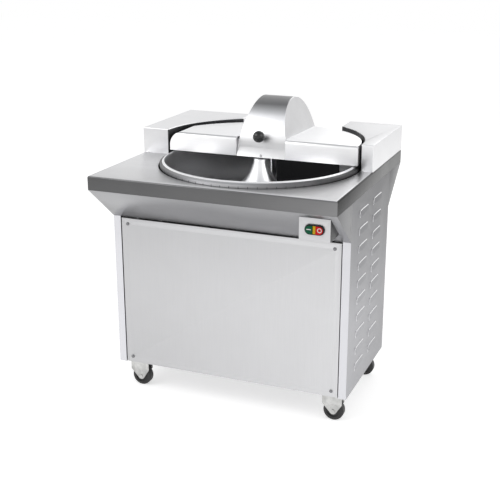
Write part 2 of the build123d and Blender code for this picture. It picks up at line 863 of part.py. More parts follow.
with BuildPart() as knife_bearings:
    for start in (quill_left, quill_right - bearing_width):
        with BuildSketch(Plane.YZ.offset(start)):
            with Locations((shaft_y, shaft_z)):
                Circle(bearing_radius)
                Circle(knife_shaft_radius + running_fit, mode=Mode.SUBTRACT)
        extrude(amount=bearing_width)
export(knife_bearings.part, "knife_bearings")

with BuildPart() as bearing_pedestal:
    with BuildSketch(Plane.YZ.offset(-pedestal_offset - pedestal_length / 6)):
        with Locations((shaft_y, worktop_height)):
            Rectangle(pedestal_width, pedestal_height, align=(Align.CENTER, Align.MIN))
    extrude(amount=pedestal_length)
    chamfer(bearing_pedestal.edges().filter_by(Axis.X).group_by(Axis.Z)[-1], pedestal_width / 5)
    with BuildSketch(Plane.YZ.offset(-pedestal_offset - pedestal_length / 6)):
        with Locations((shaft_y, shaft_z)):
            Circle(quill_radius + running_fit)
    extrude(amount=pedestal_length, mode=Mode.SUBTRACT)
export(bearing_pedestal.part, "bearing_pedestal")

# ================================================================ belt drive and main motor

belt_places = [pulley_x + (number - (belt_count - 1) / 2) * belt_pitch for number in range(belt_count)]


def grooved_pulley(pitch_radius, bore_radius, centre_y, centre_z):
    """Pulley along X with one V groove for each belt."""
    with BuildPart() as pulley:
        with BuildSketch(Plane.YZ.offset(pulley_left)):
            with Locations((centre_y, centre_z)):
                Circle(pitch_radius + belt_depth / 2)
        extrude(amount=pulley_width)
        floor_radius = pitch_radius - belt_depth / 2 - seat_gap
        for belt_x in belt_places:
            with BuildSketch(Plane.XZ.offset(-centre_y)):
                with BuildLine():
                    Polyline(
                        (belt_x - belt_width / 2 - seat_gap, centre_z + floor_radius),
                        (belt_x + belt_width / 2 + seat_gap, centre_z + floor_radius),
                        (belt_x + belt_width / 2 + belt_groove_flare, centre_z + pitch_radius + belt_depth),
                        (belt_x - belt_width / 2 - belt_groove_flare, centre_z + pitch_radius + belt_depth),
                        close=True,
                    )
                make_face()
            revolve(axis=Axis((0, centre_y, centre_z), (1, 0, 0)), mode=Mode.SUBTRACT)
        with BuildSketch(Plane.YZ.offset(pulley_left)):
            with Locations((centre_y, centre_z)):
                Circle(bore_radius + running_fit)
        extrude(amount=pulley_width, mode=Mode.SUBTRACT)
    return pulley.part


export(grooved_pulley(knife_pulley_pitch, knife_shaft_radius, shaft_y, shaft_z), "knife_pulley")
export(grooved_pulley(motor_pulley_pitch, motor_shaft_radius, motor_y, motor_z), "motor_pulley")

with BuildPart() as knife_belts:
    for belt_x in belt_places:
        for inset, mode in ((0, Mode.ADD), (belt_depth, Mode.SUBTRACT)):
            with BuildSketch(Plane.YZ.offset(belt_x - belt_width / 2)):
                with Locations((shaft_y, shaft_z)):
                    Circle(knife_pulley_pitch + belt_depth / 2 - inset)
                with Locations((motor_y, motor_z)):
                    Circle(motor_pulley_pitch + belt_depth / 2 - inset)
                make_hull()
            extrude(amount=belt_width, mode=mode)
export(knife_belts.part, "knife_belts")

with BuildPart() as motor_body:
    with BuildSketch(Plane.YZ.offset(motor_front_x)):
        with Locations((motor_y, motor_z)):
            Circle(motor_radius - motor_fin_depth)
            with PolarLocations(motor_radius - motor_fin_depth, motor_fins):
                Rectangle(2 * motor_fin_depth, motor_fin_depth / 2)
    extrude(amount=motor_length)
    for start in (motor_front_x, motor_front_x + motor_length - motor_foot_height):
        with BuildSketch(Plane.YZ.offset(start)):
            with Locations((motor_y, motor_z)):
                Circle(motor_radius)
        extrude(amount=motor_foot_height)
    with BuildSketch(Plane.XY.offset(motor_z - motor_radius - motor_fin_depth / 2)):
        with Locations((motor_front_x + motor_length / 2, motor_y)):
            with GridLocations(motor_length - 3 * motor_foot_height, motor_foot_spread, 2, 2):
                Rectangle(motor_foot_height, motor_foot_height)
    extrude(amount=motor_foot_height)
    with BuildSketch(Plane.XY.offset(motor_z)):
        with Locations((motor_front_x + motor_length / 2, motor_y)):
            RectangleRounded(motor_radius, motor_radius, motor_fin_depth)
    extrude(amount=motor_box_rise)
    with BuildSketch(Plane.YZ.offset(motor_front_x)):
        with Locations((motor_y, motor_z)):
            Circle(motor_shaft_radius + running_fit)
    extrude(amount=motor_length / 3, mode=Mode.SUBTRACT)
export(motor_body.part, "motor_body")

with BuildPart() as motor_shaft:
    with BuildSketch(Plane.YZ.offset(pulley_left - seat_gap)):
        with Locations((motor_y, motor_z)):
            Circle(motor_shaft_radius)
    extrude(amount=motor_front_x + motor_length / 3 - sheet - pulley_left + seat_gap)
export(motor_shaft.part, "motor_shaft")

mount_top = motor_z - motor_radius - motor_fin_depth / 2
with BuildPart() as motor_mount:
    with BuildSketch(Plane.XZ.offset(-motor_y - motor_radius)):
        with BuildLine():
            Polyline(
                (motor_front_x, base_top),
                (motor_front_x, mount_top),
                (motor_front_x + motor_length, mount_top),
                (motor_front_x + motor_length, base_top),
                (motor_front_x + motor_length - 2 * motor_foot_height, base_top),
                (motor_front_x + motor_length - 2 * motor_foot_height, base_top + 2 * sheet),
                (motor_front_x + motor_length - 2 * sheet, base_top + 2 * sheet),
                (motor_front_x + motor_length - 2 * sheet, mount_top - 2 * sheet),
                (motor_front_x + 2 * sheet, mount_top - 2 * sheet),
                (motor_front_x + 2 * sheet, base_top + 2 * sheet),
                (motor_front_x + 2 * motor_foot_height, base_top + 2 * sheet),
                (motor_front_x + 2 * motor_foot_height, base_top),
                close=True,
            )
        make_face()
    extrude(amount=2 * motor_radius)
export(motor_mount.part, "motor_mount")

# ================================================================ lid

lid_slope = (lid_front_height - lid_rear_height) / rim_outer
lid_cut_y = shaft_y - hood_inner + 3 * sheet

def lid_form(inset, floor):
    """Closed half drum with a sloping top, every face but the floor brought in by inset."""
    left = bowl_x - rim_outer + inset
    front = bowl_y + inset
    rear = bowl_y + rim_outer + lid_shoulder
    top = lid_top_front - inset
    with BuildPart() as form:
        with BuildSketch(Plane.YZ.offset(left)) as side_view:
            with BuildLine():
                rear_top = top - lid_slope * (rear - front)
                Polyline((front, floor), (front, top), (rear, rear_top), (rear, floor), close=True)
            make_face()
            fillet(side_view.vertices().sort_by_distance((front, top, 0))[0], lid_shoulder - inset)
        extrude(amount=2 * rim_outer)
        with BuildSketch(Plane.XZ.offset(-bowl_y)) as front_view:
            with Locations((left, floor)):
                Rectangle(2 * rim_outer, top - floor, align=(Align.MIN, Align.MIN))
            fillet(front_view.vertices().sort_by_distance((left, top, 0))[0], lid_nose - inset)
        extrude(amount=-2 * rim_outer, mode=Mode.INTERSECT)
        with BuildSketch(Plane.XY.offset(floor)):
            with Locations((bowl_x, bowl_y)):
                Circle(rim_outer - inset)
        extrude(amount=2 * lid_front_height, mode=Mode.INTERSECT)
    return form.part


cheek_x = hood_half_width + sheet
with BuildPart() as lid_room:
    add(lid_form(sheet, lid_z - sheet))
    for side in (-1, 1):
        with BuildSketch(Plane.XY.offset(lid_z - 2 * sheet)):
            with Locations((bowl_x + side * (hood_half_width + sheet / 2), bowl_y)):
                Rectangle(sheet, 2 * (hood_flare + 4 * sheet))
        extrude(amount=2 * lid_front_height, mode=Mode.SUBTRACT)

with BuildPart() as lid_shell:
    add(lid_form(0, lid_z))
    add(lid_room.part, mode=Mode.SUBTRACT)
    with BuildSketch(Plane.XY.offset(lid_z)):
        with Locations((bowl_x, bowl_y)):
            Rectangle(2 * hood_half_width, 2 * (lid_cut_y - bowl_y))
    extrude(amount=2 * lid_front_height, mode=Mode.SUBTRACT)
    with BuildSketch(Plane.XY.offset(lid_z + lid_rear_height / 2)):
        with Locations((bowl_x, shaft_y)):
            Rectangle(2 * lid_opening_half_width, 2 * (knife_radius + sheet))
    extrude(amount=lid_front_height, mode=Mode.SUBTRACT)
    with BuildSketch(Plane.YZ.offset(bowl_x - rim_outer)):
        with Locations((shaft_y, lid_z)):
            Rectangle(
                quill_slot_width,
                shaft_z + quill_radius + 2 * sheet - lid_z,
                align=(Align.CENTER, Align.MIN),
            )
    extrude(amount=rim_outer / 3, mode=Mode.SUBTRACT)
export(lid_shell.part, "lid_shell")


def hood_form(inset, foot):
    """Closed hood: round about the knife shaft, straight flare in front, flat tapering sides."""
    radius = hood_outer - inset
    flare_top = lid_z + hood_flare_height
    front_top = shaft_y - sqrt(radius ** 2 - (shaft_z - flare_top) ** 2)
    rear_foot = shaft_y + sqrt(radius ** 2 - (lid_top_rear - shaft_z) ** 2)
    half = hood_half_width - inset
    top_half = hood_top_half_width - inset
    with BuildPart() as form:
        with BuildSketch(Plane.YZ.offset(bowl_x - half)):
            with BuildLine():
                Polyline(
                    (rear_foot, lid_top_rear),
                    (rear_foot, foot),
                    (front_top - hood_flare * (flare_top - foot) / hood_flare_height, foot),
                    (front_top, flare_top),
                )
                ThreePointArc((front_top, flare_top), (shaft_y, shaft_z + radius), (rear_foot, lid_top_rear))
            make_face()
        extrude(amount=2 * half)
        with BuildSketch(Plane.XZ.offset(-(shaft_y - 2 * radius))):
            with BuildLine():
                Polyline(
                    (bowl_x - half, foot),
                    (bowl_x + half, foot),
                    (bowl_x + half, lid_z + hood_straight),
                    (bowl_x + top_half, shaft_z + radius),
                    (bowl_x - top_half, shaft_z + radius),
                    (bowl_x - half, lid_z + hood_straight),
                    close=True,
                )
            make_face()
        extrude(amount=-4 * radius, mode=Mode.INTERSECT)
    return form.part


with BuildPart() as knife_hood:
    add(hood_form(0, lid_z))
    skin_edges = knife_hood.edges().filter_by(
        lambda edge: abs(edge.center().X - bowl_x) > hood_top_half_width / 2
        and abs(edge.tangent_at(0.5).X) < 0.9
        and abs(edge.tangent_at(0.5).Y) < 0.99
        and edge.center().Z > lid_z
        and edge.center().Y < shaft_y + hood_outer * 0.95
    )
    fillet(skin_edges, hood_edge)
    add(hood_form(sheet, lid_z - sheet), mode=Mode.SUBTRACT)
    with BuildSketch(Plane.YZ.offset(bowl_x - 2 * hood_half_width)):
        with BuildLine():
            Polyline(
                (lid_cut_y, lid_z - sheet),
                (lid_cut_y, lid_top_front - lid_slope * (lid_cut_y - bowl_y)),
                (bowl_y + rim_outer, lid_top_rear),
                (bowl_y + rim_outer, lid_z - sheet),
                close=True,
            )
        make_face()
    extrude(amount=4 * hood_half_width, mode=Mode.SUBTRACT)
export(knife_hood.part, "knife_hood")

knob_way = Vector(0, -(shaft_y - knob_y), knob_z - shaft_z).normalized()
knob_foot = Vector(bowl_x, shaft_y, shaft_z) + knob_way * hood_outer
knob_plane = Plane(origin=knob_foot, x_dir=(1, 0, 0), z_dir=knob_way)
with BuildPart() as lid_knob:
    with BuildSketch(knob_plane.offset(seat_gap)):
        Circle(knob_stem_radius)
    extrude(amount=knob_stem_length + knob_radius - seat_gap)
    with Locations(knob_plane.offset(knob_stem_length + knob_radius)):
        Sphere(knob_radius)
export(lid_knob.part, "lid_knob")

catch_plane = Plane(
    origin=(bowl_x, shaft_y - hood_outer - catch_forward, lid_z + catch_rise),
    x_dir=(1, 0, 0),
    z_dir=(0, -hood_flare_height, hood_flare),
)
with BuildPart() as catch_pin:
    with BuildSketch(catch_plane.offset(seat_gap)):
        Circle(catch_radius)
    extrude(amount=catch_length)
    fillet(catch_pin.faces().sort_by(catch_plane.location.z_axis)[-1].edges(), catch_round)
export(catch_pin.part, "catch_pin")

# The scraper hangs from the lid across the trough and turns the meat back towards the knives.
scraper_y = bowl_y + sheet + seat_gap
scraper_x = bowl_x + trough_pitch
scraper_shoulder = cheek_x + sheet
scraper_screw_places = [
    (scraper_x + side * scraper_screw_pitch / 2, rim_z + scraper_top / 2 + sheet) for side in (-1, 1)
]
with BuildPart() as bowl_scraper:
    with BuildSketch(Plane.XZ.offset(-scraper_y)):
        with Locations((scraper_x, shaft_z)):
            Circle(trough_radius - scraper_clearance)
        with Locations((bowl_x + scraper_inner, rim_z)):
            Rectangle(scraper_outer - scraper_inner, 2 * trough_radius, align=(Align.MIN, Align.MAX),
                      mode=Mode.INTERSECT)
        with Locations((bowl_x + scraper_shoulder, rim_z)):
            Rectangle(scraper_outer - scraper_shoulder, scraper_top + sheet, align=(Align.MIN, Align.MIN))
        with Locations(*scraper_screw_places):
            Circle(screw_radius + hole_clearance, mode=Mode.SUBTRACT)
    extrude(amount=-scraper_thickness)
export(bowl_scraper.part, "bowl_scraper")

with BuildPart() as scraper_screws:
    with BuildSketch(Plane.XZ.offset(-(bowl_y + sheet))):
        with Locations(*scraper_screw_places):
            Circle(screw_radius)
    extrude(amount=-(scraper_thickness + seat_gap))
    with BuildSketch(Plane.XZ.offset(-(scraper_y + scraper_thickness))):
        with Locations(*scraper_screw_places):
            RegularPolygon(screw_head_radius, 6)
    extrude(amount=-2 * screw_head_height)
export(scraper_screws.part, "scraper_screws")

# ================================================================ lid hinge

hinge_half = hinge_lug_offset + hinge_lug_width
with BuildPart() as hinge_bracket:
    with BuildSketch(Plane.XY.offset(worktop_height)):
        with Locations((bowl_x, hinge_y)):
            Rectangle(2 * hinge_half, 2 * (hinge_eye_radius + sheet))
    extrude(amount=post_thickness)
    for side in (-1, 1):
        lug_left = bowl_x + side * hinge_lug_offset - (0 if side > 0 else hinge_lug_width)
        with BuildSketch(Plane.YZ.offset(lug_left)):
            with Locations((hinge_y, hinge_z)):
                Circle(hinge_eye_radius)
            with Locations((hinge_y, worktop_height)):
                Rectangle(2 * (hinge_eye_radius + sheet), post_thickness, align=(Align.CENTER, Align.MIN))
            make_hull()
        extrude(amount=hinge_lug_width)
    with BuildSketch(Plane.YZ.offset(bowl_x - hinge_half)):
        with Locations((hinge_y, hinge_z)):
            Circle(hinge_pin_radius + running_fit)
    extrude(amount=2 * hinge_half, mode=Mode.SUBTRACT)
export(hinge_bracket.part, "hinge_bracket")

with BuildPart() as hinge_pin:
    with BuildSketch(Plane.YZ.offset(bowl_x - hinge_half - seat_gap)):
        with Locations((hinge_y, hinge_z)):
            Circle(hinge_pin_radius)
    extrude(amount=2 * (hinge_half + seat_gap))
    for side in (-1, 1):
        with BuildSketch(Plane.YZ.offset(bowl_x + side * (hinge_half + seat_gap))):
            with Locations((hinge_y, hinge_z)):
                Circle(1.5 * hinge_pin_radius)
        extrude(amount=side * sheet)
export(hinge_pin.part, "hinge_pin")

leaf_half = hinge_arm_offset + hinge_arm_width / 2
leaf_low = lid_z + sheet
with BuildPart() as lid_hinge_arms:
    for side in (-1, 1):
        with BuildSketch(Plane.YZ.offset(bowl_x + side * hinge_arm_offset - hinge_arm_width / 2)):
            with Locations((hinge_y, hinge_z)):
                Circle(hinge_eye_radius)
            with Locations((bowl_y + rim_outer - hinge_arm_width, leaf_low)):
                Rectangle(hinge_arm_width, hinge_leaf_height, align=(Align.MIN, Align.MIN))
            make_hull()
        extrude(amount=hinge_arm_width)
        with BuildSketch(Plane.YZ.offset(bowl_x + side * hinge_arm_offset - hinge_arm_width / 2)):
            with Locations((hinge_y, hinge_z)):
                Circle(hinge_pin_radius + running_fit)
        extrude(amount=hinge_arm_width, mode=Mode.SUBTRACT)
    with BuildSketch(Plane.XY.offset(leaf_low)):
        with Locations((bowl_x, bowl_y)):
            Circle(rim_outer + seat_gap + hinge_leaf_thickness)
            Circle(rim_outer / 2, mode=Mode.SUBTRACT)
        with Locations((bowl_x, bowl_y)):
            Rectangle(2 * leaf_half, 2 * rim_outer, align=(Align.CENTER, Align.MIN), mode=Mode.INTERSECT)
    extrude(amount=hinge_leaf_height)
    with BuildSketch(Plane.XY.offset(leaf_low - sheet)):
        with Locations((bowl_x, bowl_y)):
            Circle(rim_outer + seat_gap)
    extrude(amount=hinge_leaf_height + 4 * sheet, mode=Mode.SUBTRACT)
export(lid_hinge_arms.part, "lid_hinge_arms")

# ================================================================ controls


def skirt_face(height):
    """Depth at which the outside of the front skirt stands at a height."""
    return -half_y + (band_z - height) * (half_y - half_cab) / skirt_height


control_top = band_z - control_drop
control_low = control_top - control_height
with BuildPart() as control_box:
    with BuildSketch(Plane.YZ.offset(control_x - control_width / 2)):
        with BuildLine():
            Polyline(
                (-control_stand, control_top),
                (skirt_face(control_top), control_top),
                (skirt_face(control_low), control_low),
                (-control_stand, control_low),
                close=True,
            )
        make_face()
    extrude(amount=control_width)
    slanted_back = control_box.faces().sort_by(Axis.Y)[-1]
    offset(amount=-sheet, openings=slanted_back)
    with BuildSketch(Plane.XZ.offset(control_stand)):
        with Locations((control_x, pill_z)):
            SlotOverall(pill_length - 2 * bezel_border + 2 * hole_clearance,
                        pill_width - 2 * bezel_border + 2 * hole_clearance)
    extrude(amount=-2 * sheet, mode=Mode.SUBTRACT)
export(control_box.part, "control_box")

with BuildPart() as button_bezel:
    with BuildSketch(Plane.XZ.offset(control_stand)):
        with Locations((control_x, pill_z)):
            SlotOverall(pill_length, pill_width)
            SlotOverall(pill_length - 2 * bezel_border + 2 * hole_clearance,
                        pill_width - 2 * bezel_border + 2 * hole_clearance, mode=Mode.SUBTRACT)
    extrude(amount=bezel_height)
    chamfer(button_bezel.faces().sort_by(Axis.Y)[0].outer_wire().edges(), bezel_border / 2)
export(button_bezel.part, "button_bezel")

button_inner = lamp_width / 2 + hole_clearance
button_outer = pill_length / 2 - bezel_border
for button_name, side in (("start_button", -1), ("stop_button", 1)):
    with BuildPart() as button:
        with BuildSketch(Plane.XZ.offset(control_stand + bezel_height + button_travel)):
            with Locations((control_x, pill_z)):
                SlotOverall(2 * button_outer, pill_width - 2 * bezel_border)
            with Locations((control_x + side * button_inner, pill_z)):
                Rectangle(
                    button_outer,
                    pill_width,
                    align=(Align.MAX if side < 0 else Align.MIN, Align.CENTER),
                    mode=Mode.INTERSECT,
                )
        extrude(amount=-button_depth)
        fillet(button.faces().sort_by(Axis.Y)[0].edges(), bezel_border / 3)
    export(button.part, button_name)

with BuildPart() as lamp_lens:
    with BuildSketch(Plane.XZ.offset(control_stand + bezel_height + sheet / 2)):
        with Locations((control_x, pill_z)):
            Rectangle(lamp_width, pill_width - 2 * bezel_border)
    extrude(amount=-(button_depth - bezel_border))
    fillet(lamp_lens.edges().filter_by(Axis.Z).group_by(Axis.Y)[0], sheet)
export(lamp_lens.part, "lamp_lens")

block_front = -control_stand + sheet
cap_rear = -(control_stand + bezel_height + button_travel) + button_depth + button_travel
with BuildPart() as contact_block:
    with BuildSketch(Plane.XZ.offset(-block_front)):
        with Locations((control_x, pill_z)):
            Rectangle(pill_length + 2 * bezel_border, pill_width + sheet)
    extrude(amount=-(cap_rear + seat_gap + contact_depth - block_front))
    with BuildSketch(Plane.XZ.offset(-block_front)):
        with Locations((control_x, pill_z)):
            Rectangle(pill_length - 2 * bezel_border + 2 * hole_clearance,
                      pill_width - 2 * bezel_border + 2 * hole_clearance)
    extrude(amount=-(cap_rear + seat_gap - block_front), mode=Mode.SUBTRACT)
export(contact_block.part, "contact_block")

gland_face = Plane.XZ.offset(-(half_cab - panel_inset))
with BuildPart() as cable_gland:
    with BuildSketch(gland_face):
        with Locations(gland_place):
            RegularPolygon(gland_radius, 6)
            Circle(gland_radius / 3, mode=Mode.SUBTRACT)
    extrude(amount=-gland_radius / 2)
    with BuildSketch(gland_face.offset(-gland_radius / 2)):
        with Locations(gland_place):
            Circle(gland_radius * 0.75)
            Circle(gland_radius / 3, mode=Mode.SUBTRACT)
    extrude(amount=-gland_radius / 2)
    with BuildSketch(gland_face):
        with Locations(gland_place):
            Circle(gland_radius - bezel_border)
            Circle(gland_radius / 3, mode=Mode.SUBTRACT)
    extrude(amount=gland_radius)
export(cable_gland.part, "cable_gland")
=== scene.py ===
"""Looks of a meat bowl cutter: sheet-steel cabinet, turning bowl, knife hood, controls and casters.

Everything is in metres in the frame's axes: +X to the operator's right, +Y to the rear, +Z up.
"""

import json
import logging
from abc import ABC, abstractmethod
from dataclasses import dataclass, field
from enum import Enum
from functools import cache
from math import pi, radians
from typing import Callable, Iterable

import bpy
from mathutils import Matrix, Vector

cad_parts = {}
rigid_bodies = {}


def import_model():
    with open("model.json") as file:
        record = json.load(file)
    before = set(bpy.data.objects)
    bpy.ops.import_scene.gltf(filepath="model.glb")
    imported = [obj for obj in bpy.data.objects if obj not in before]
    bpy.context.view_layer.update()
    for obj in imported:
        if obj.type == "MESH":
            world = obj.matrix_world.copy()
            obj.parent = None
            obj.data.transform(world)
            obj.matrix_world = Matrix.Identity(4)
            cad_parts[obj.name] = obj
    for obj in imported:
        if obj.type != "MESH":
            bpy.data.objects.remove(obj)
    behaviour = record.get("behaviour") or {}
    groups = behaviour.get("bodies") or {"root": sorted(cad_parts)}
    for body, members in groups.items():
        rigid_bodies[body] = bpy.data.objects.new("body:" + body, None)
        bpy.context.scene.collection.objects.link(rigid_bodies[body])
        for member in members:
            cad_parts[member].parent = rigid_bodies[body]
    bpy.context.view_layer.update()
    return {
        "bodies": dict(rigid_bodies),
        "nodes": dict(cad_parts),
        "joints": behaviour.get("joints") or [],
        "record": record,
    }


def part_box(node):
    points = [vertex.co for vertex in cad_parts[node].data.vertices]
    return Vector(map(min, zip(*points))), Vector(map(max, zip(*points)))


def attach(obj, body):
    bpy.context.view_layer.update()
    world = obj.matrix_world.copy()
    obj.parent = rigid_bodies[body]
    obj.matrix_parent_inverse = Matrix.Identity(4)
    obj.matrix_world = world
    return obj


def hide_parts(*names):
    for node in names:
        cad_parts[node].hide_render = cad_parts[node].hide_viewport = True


RGB = tuple[float, float, float]
Point = tuple[float, float, float]
Socket = bpy.types.NodeSocket
Sockets = bpy.types.bpy_prop_collection

logging.basicConfig(level=logging.INFO, format="%(message)s")
log = logging.getLogger("bowl_cutter")

RIGHT: Point = (1.0, 0.0, 0.0)
FRONT: Point = (0.0, -1.0, 0.0)
REAR: Point = (0.0, 1.0, 0.0)
UP: Point = (0.0, 0.0, 1.0)
ORIGIN: Point = (0.0, 0.0, 0.0)
WHITE = (1.0, 1.0, 1.0, 1.0)

# The worktop's half sizes and the bowl's axis, which the finishes need before the frame is loaded.
HALF_LENGTH = 0.38
HALF_DEPTH = 0.35
AXIS_OF_BOWL: Point = (0.030, -0.018, 0.0)
CORNERS = ("front_left", "rear_left", "front_right", "rear_right")

# Turns in degrees over which an edge is sharp and under which faces are flat, and reaches in metres
# within which the corners of a copied node and of a new piece are merged.
SHARP_TURN = 32.0
FLAT_TURN = 0.4
MERGE_REACH = 0.00001
CLOSE_REACH = 0.000005

# How far past a painted light zone's limit, as a cosine, its painted light or shade reaches full strength.
SOFT_LIMIT = 0.12

FRAME: dict = {}


class Grain(Enum):
    """Way in which a metal surface was brushed, as the stretch of its scratches per metre."""

    ALONG_X = (9.0, 900.0, 900.0)
    ALONG_Y = (900.0, 9.0, 900.0)
    ALONG_Z = (900.0, 900.0, 9.0)
    CAST = (260.0, 260.0, 260.0)
    ROUND = (700.0, 700.0, 700.0)


# ------------------------------------------------------------------ node trees


class Bench:
    """A node tree with short ways to add and feed its nodes."""

    def __init__(self, tree: bpy.types.NodeTree) -> None:
        """Keep the tree that is worked on.

        Args:
            tree: The node tree of a material, world or group.
        """
        self.tree = tree

    def feed(self, into: Socket, value: object) -> None:
        """Link another node's output to an input, or set a constant on it.

        Args:
            into: The input.
            value: An output socket or a constant.
        """
        if isinstance(value, Socket):
            self.tree.links.new(value, into)
        else:
            into.default_value = value

    def add(self, kind: str, **values: object) -> bpy.types.Node:
        """Add a node, set its properties and feed its inputs.

        Args:
            kind: Blender's name of the node type.
            values: Properties by name, or inputs by name with _ for a space.

        Returns:
            The new node.
        """
        node = self.tree.nodes.new(kind)
        for key, value in values.items():
            if hasattr(node, key):
                setattr(node, key, value)
            else:
                self.feed(node.inputs[key.replace("_", " ")], value)
        return node

    def group(self, name: str, **values: object) -> Sockets:
        """Place a node group with values of its own.

        Args:
            name: Name of the group.
            values: What its inputs are fed with, by name.

        Returns:
            The outputs of the placed group.
        """
        return self.add("ShaderNodeGroup", node_tree=bpy.data.node_groups[name], **values).outputs

    def math(self, operation: str, first: object, second: object) -> Socket:
        """Work out a value from two others.

        Args:
            operation: Blender's name of the operation.
            first: A socket or a number.
            second: A socket or a number.

        Returns:
            The result.
        """
        node = self.add("ShaderNodeMath", operation=operation)
        self.feed(node.inputs[0], first)
        self.feed(node.inputs[1], second)
        return node.outputs[0]

    def vector(self, operation: str, first: object, second: object = ORIGIN) -> bpy.types.Node:
        """Add a vector math node.

        Args:
            operation: Blender's name of the operation.
            first: A socket or a vector.
            second: A socket or a vector.

        Returns:
            The node, whose result is its Vector or its Value.
        """
        node = self.add("ShaderNodeVectorMath", operation=operation)
        self.feed(node.inputs[0], first)
        self.feed(node.inputs[1], second)
        return node

    def spread(self, value: Socket, low: object = 0.0, high: object = 1.0, first: object = 0.0,
               last: object = 1.0) -> Socket:
        """Carry a value from one range over to another and hold it there.

        Args:
            value: The value.
            low: Where its range starts.
            high: Where its range ends.
            first: Result at the start.
            last: Result at the end.

        Returns:
            The result.
        """
        node = self.add(
            "ShaderNodeMapRange", Value=value, From_Min=low, From_Max=high, To_Min=first, To_Max=last,
        )
        return node.outputs[0]

    def colour(self, share: object, first: object, second: object, blend_type: str = "MIX") -> Socket:
        """Mix or multiply two colours.

        Args:
            share: How much the second colour counts, from 0 to 1.
            first: A socket or a colour.
            second: A socket or a colour.
            blend_type: Blender's name of the way to mix them.

        Returns:
            The resulting colour.
        """
        node = self.add("ShaderNodeMix", data_type="RGBA", blend_type=blend_type)
        for number, value in ((0, share), (6, first), (7, second)):
            self.feed(node.inputs[number], value)
        return node.outputs[2]

    def seen(self) -> Socket:
        """Tell the rays that show a thing itself from those that only carry its light.

        Returns:
            A value of 1 for camera, glossy and transmission rays, and 0 for others.
        """
        path = self.add("ShaderNodeLightPath").outputs
        shown = self.math("MAXIMUM", path["Is Camera Ray"], path["Is Glossy Ray"])
        return self.math("MAXIMUM", shown, path["Is Transmission Ray"])


def make_group(name: str, inputs: dict[str, object],
               outputs: tuple[str, ...]) -> tuple[Bench, Sockets, Sockets]:
    """Start a shader node group with named sockets.

    Args:
        name: Name of the group.
        inputs: First value of each input, by name: a number, or a vector of three.
        outputs: Names of the values that it gives.

    Returns:
        The bench of the new group, what it is given and what it has to feed.
    """
    tree = bpy.data.node_groups.new(name, "ShaderNodeTree")
    for label, value in inputs.items():
        kind = "NodeSocketFloat" if isinstance(value, float) else "NodeSocketVector"
        tree.interface.new_socket(label, in_out="INPUT", socket_type=kind).default_value = value
    for label in outputs:
        tree.interface.new_socket(label, in_out="OUTPUT", socket_type="NodeSocketFloat")
    bench = Bench(tree)
    return bench, bench.add("NodeGroupInput").outputs, bench.add("NodeGroupOutput").inputs


def scratches(bench: Bench, vector: Socket, stretch: Socket, result: Sockets) -> None:
    """Draw scratches by stretching a fine noise.

    Args:
        bench: The group's bench.
        vector: Where the noise is read.
        stretch: How far it is stretched each way.
        result: The group's Streak and Height, which are fed.
    """
    place = bench.vector("MULTIPLY", vector, stretch).outputs["Vector"]
    noise = bench.add("ShaderNodeTexNoise", Vector=place, Scale=1.0, Detail=3.0, Roughness=0.6).outputs[0]
    bench.feed(result["Streak"], bench.spread(noise, 0.32, 0.68))
    bench.feed(result["Height"], noise)


def brushed_grain_group() -> bpy.types.NodeTree:
    """Make the group that draws straight or cast scratches.

    Returns:
        The group, which gives a streak value and a height.
    """
    bench, given, result = make_group(
        "brushed_grain", {"Vector": ORIGIN, "Stretch": Grain.ALONG_X.value}, ("Streak", "Height"),
    )
    scratches(bench, given["Vector"], given["Stretch"], result)
    return bench.tree


def round_grain_group() -> bpy.types.NodeTree:
    """Make the group that draws turning marks round the Z axis of its vector.

    Returns:
        The group, which gives a streak value and a height.
    """
    bench, given, result = make_group(
        "round_grain", {"Vector": ORIGIN, "Stretch": Grain.ROUND.value}, ("Streak", "Height"),
    )
    flat = bench.vector("MULTIPLY", given["Vector"], (1.0, 1.0, 0.0)).outputs["Vector"]
    radius = bench.vector("LENGTH", flat).outputs["Value"]
    height = bench.add("ShaderNodeSeparateXYZ", Vector=given["Vector"]).outputs["Z"]
    ring = bench.add("ShaderNodeCombineXYZ", X=radius, Y=height).outputs["Vector"]
    scratches(bench, ring, given["Stretch"], result)
    return bench.tree


def soft_cloud_group() -> bpy.types.NodeTree:
    """Make the group that gives large soft patches, as of wiping and handling.

    Returns:
        The group, which gives a mask.
    """
    bench, given, result = make_group("soft_cloud", {"Vector": ORIGIN, "Size": 7.0}, ("Mask",))
    noise = bench.add(
        "ShaderNodeTexNoise", Vector=given["Vector"], Scale=given["Size"], Detail=4.0, Roughness=0.55,
        Distortion=0.6,
    )
    bench.feed(result["Mask"], bench.spread(noise.outputs[0], 0.35, 0.65))
    return bench.tree


def fine_fleck_group() -> bpy.types.NodeTree:
    """Make the group of a moulded or sprayed skin: small bumps and specks.

    Returns:
        The group, which gives a height and a mask.
    """
    bench, given, result = make_group("fine_fleck", {"Vector": ORIGIN, "Size": 900.0}, ("Height", "Mask"))
    noise = bench.add(
        "ShaderNodeTexNoise", Vector=given["Vector"], Scale=given["Size"], Detail=2.0, Roughness=0.5,
    )
    bench.feed(result["Height"], noise.outputs[0])
    bench.feed(result["Mask"], bench.spread(noise.outputs[0], 0.55, 0.7))
    return bench.tree


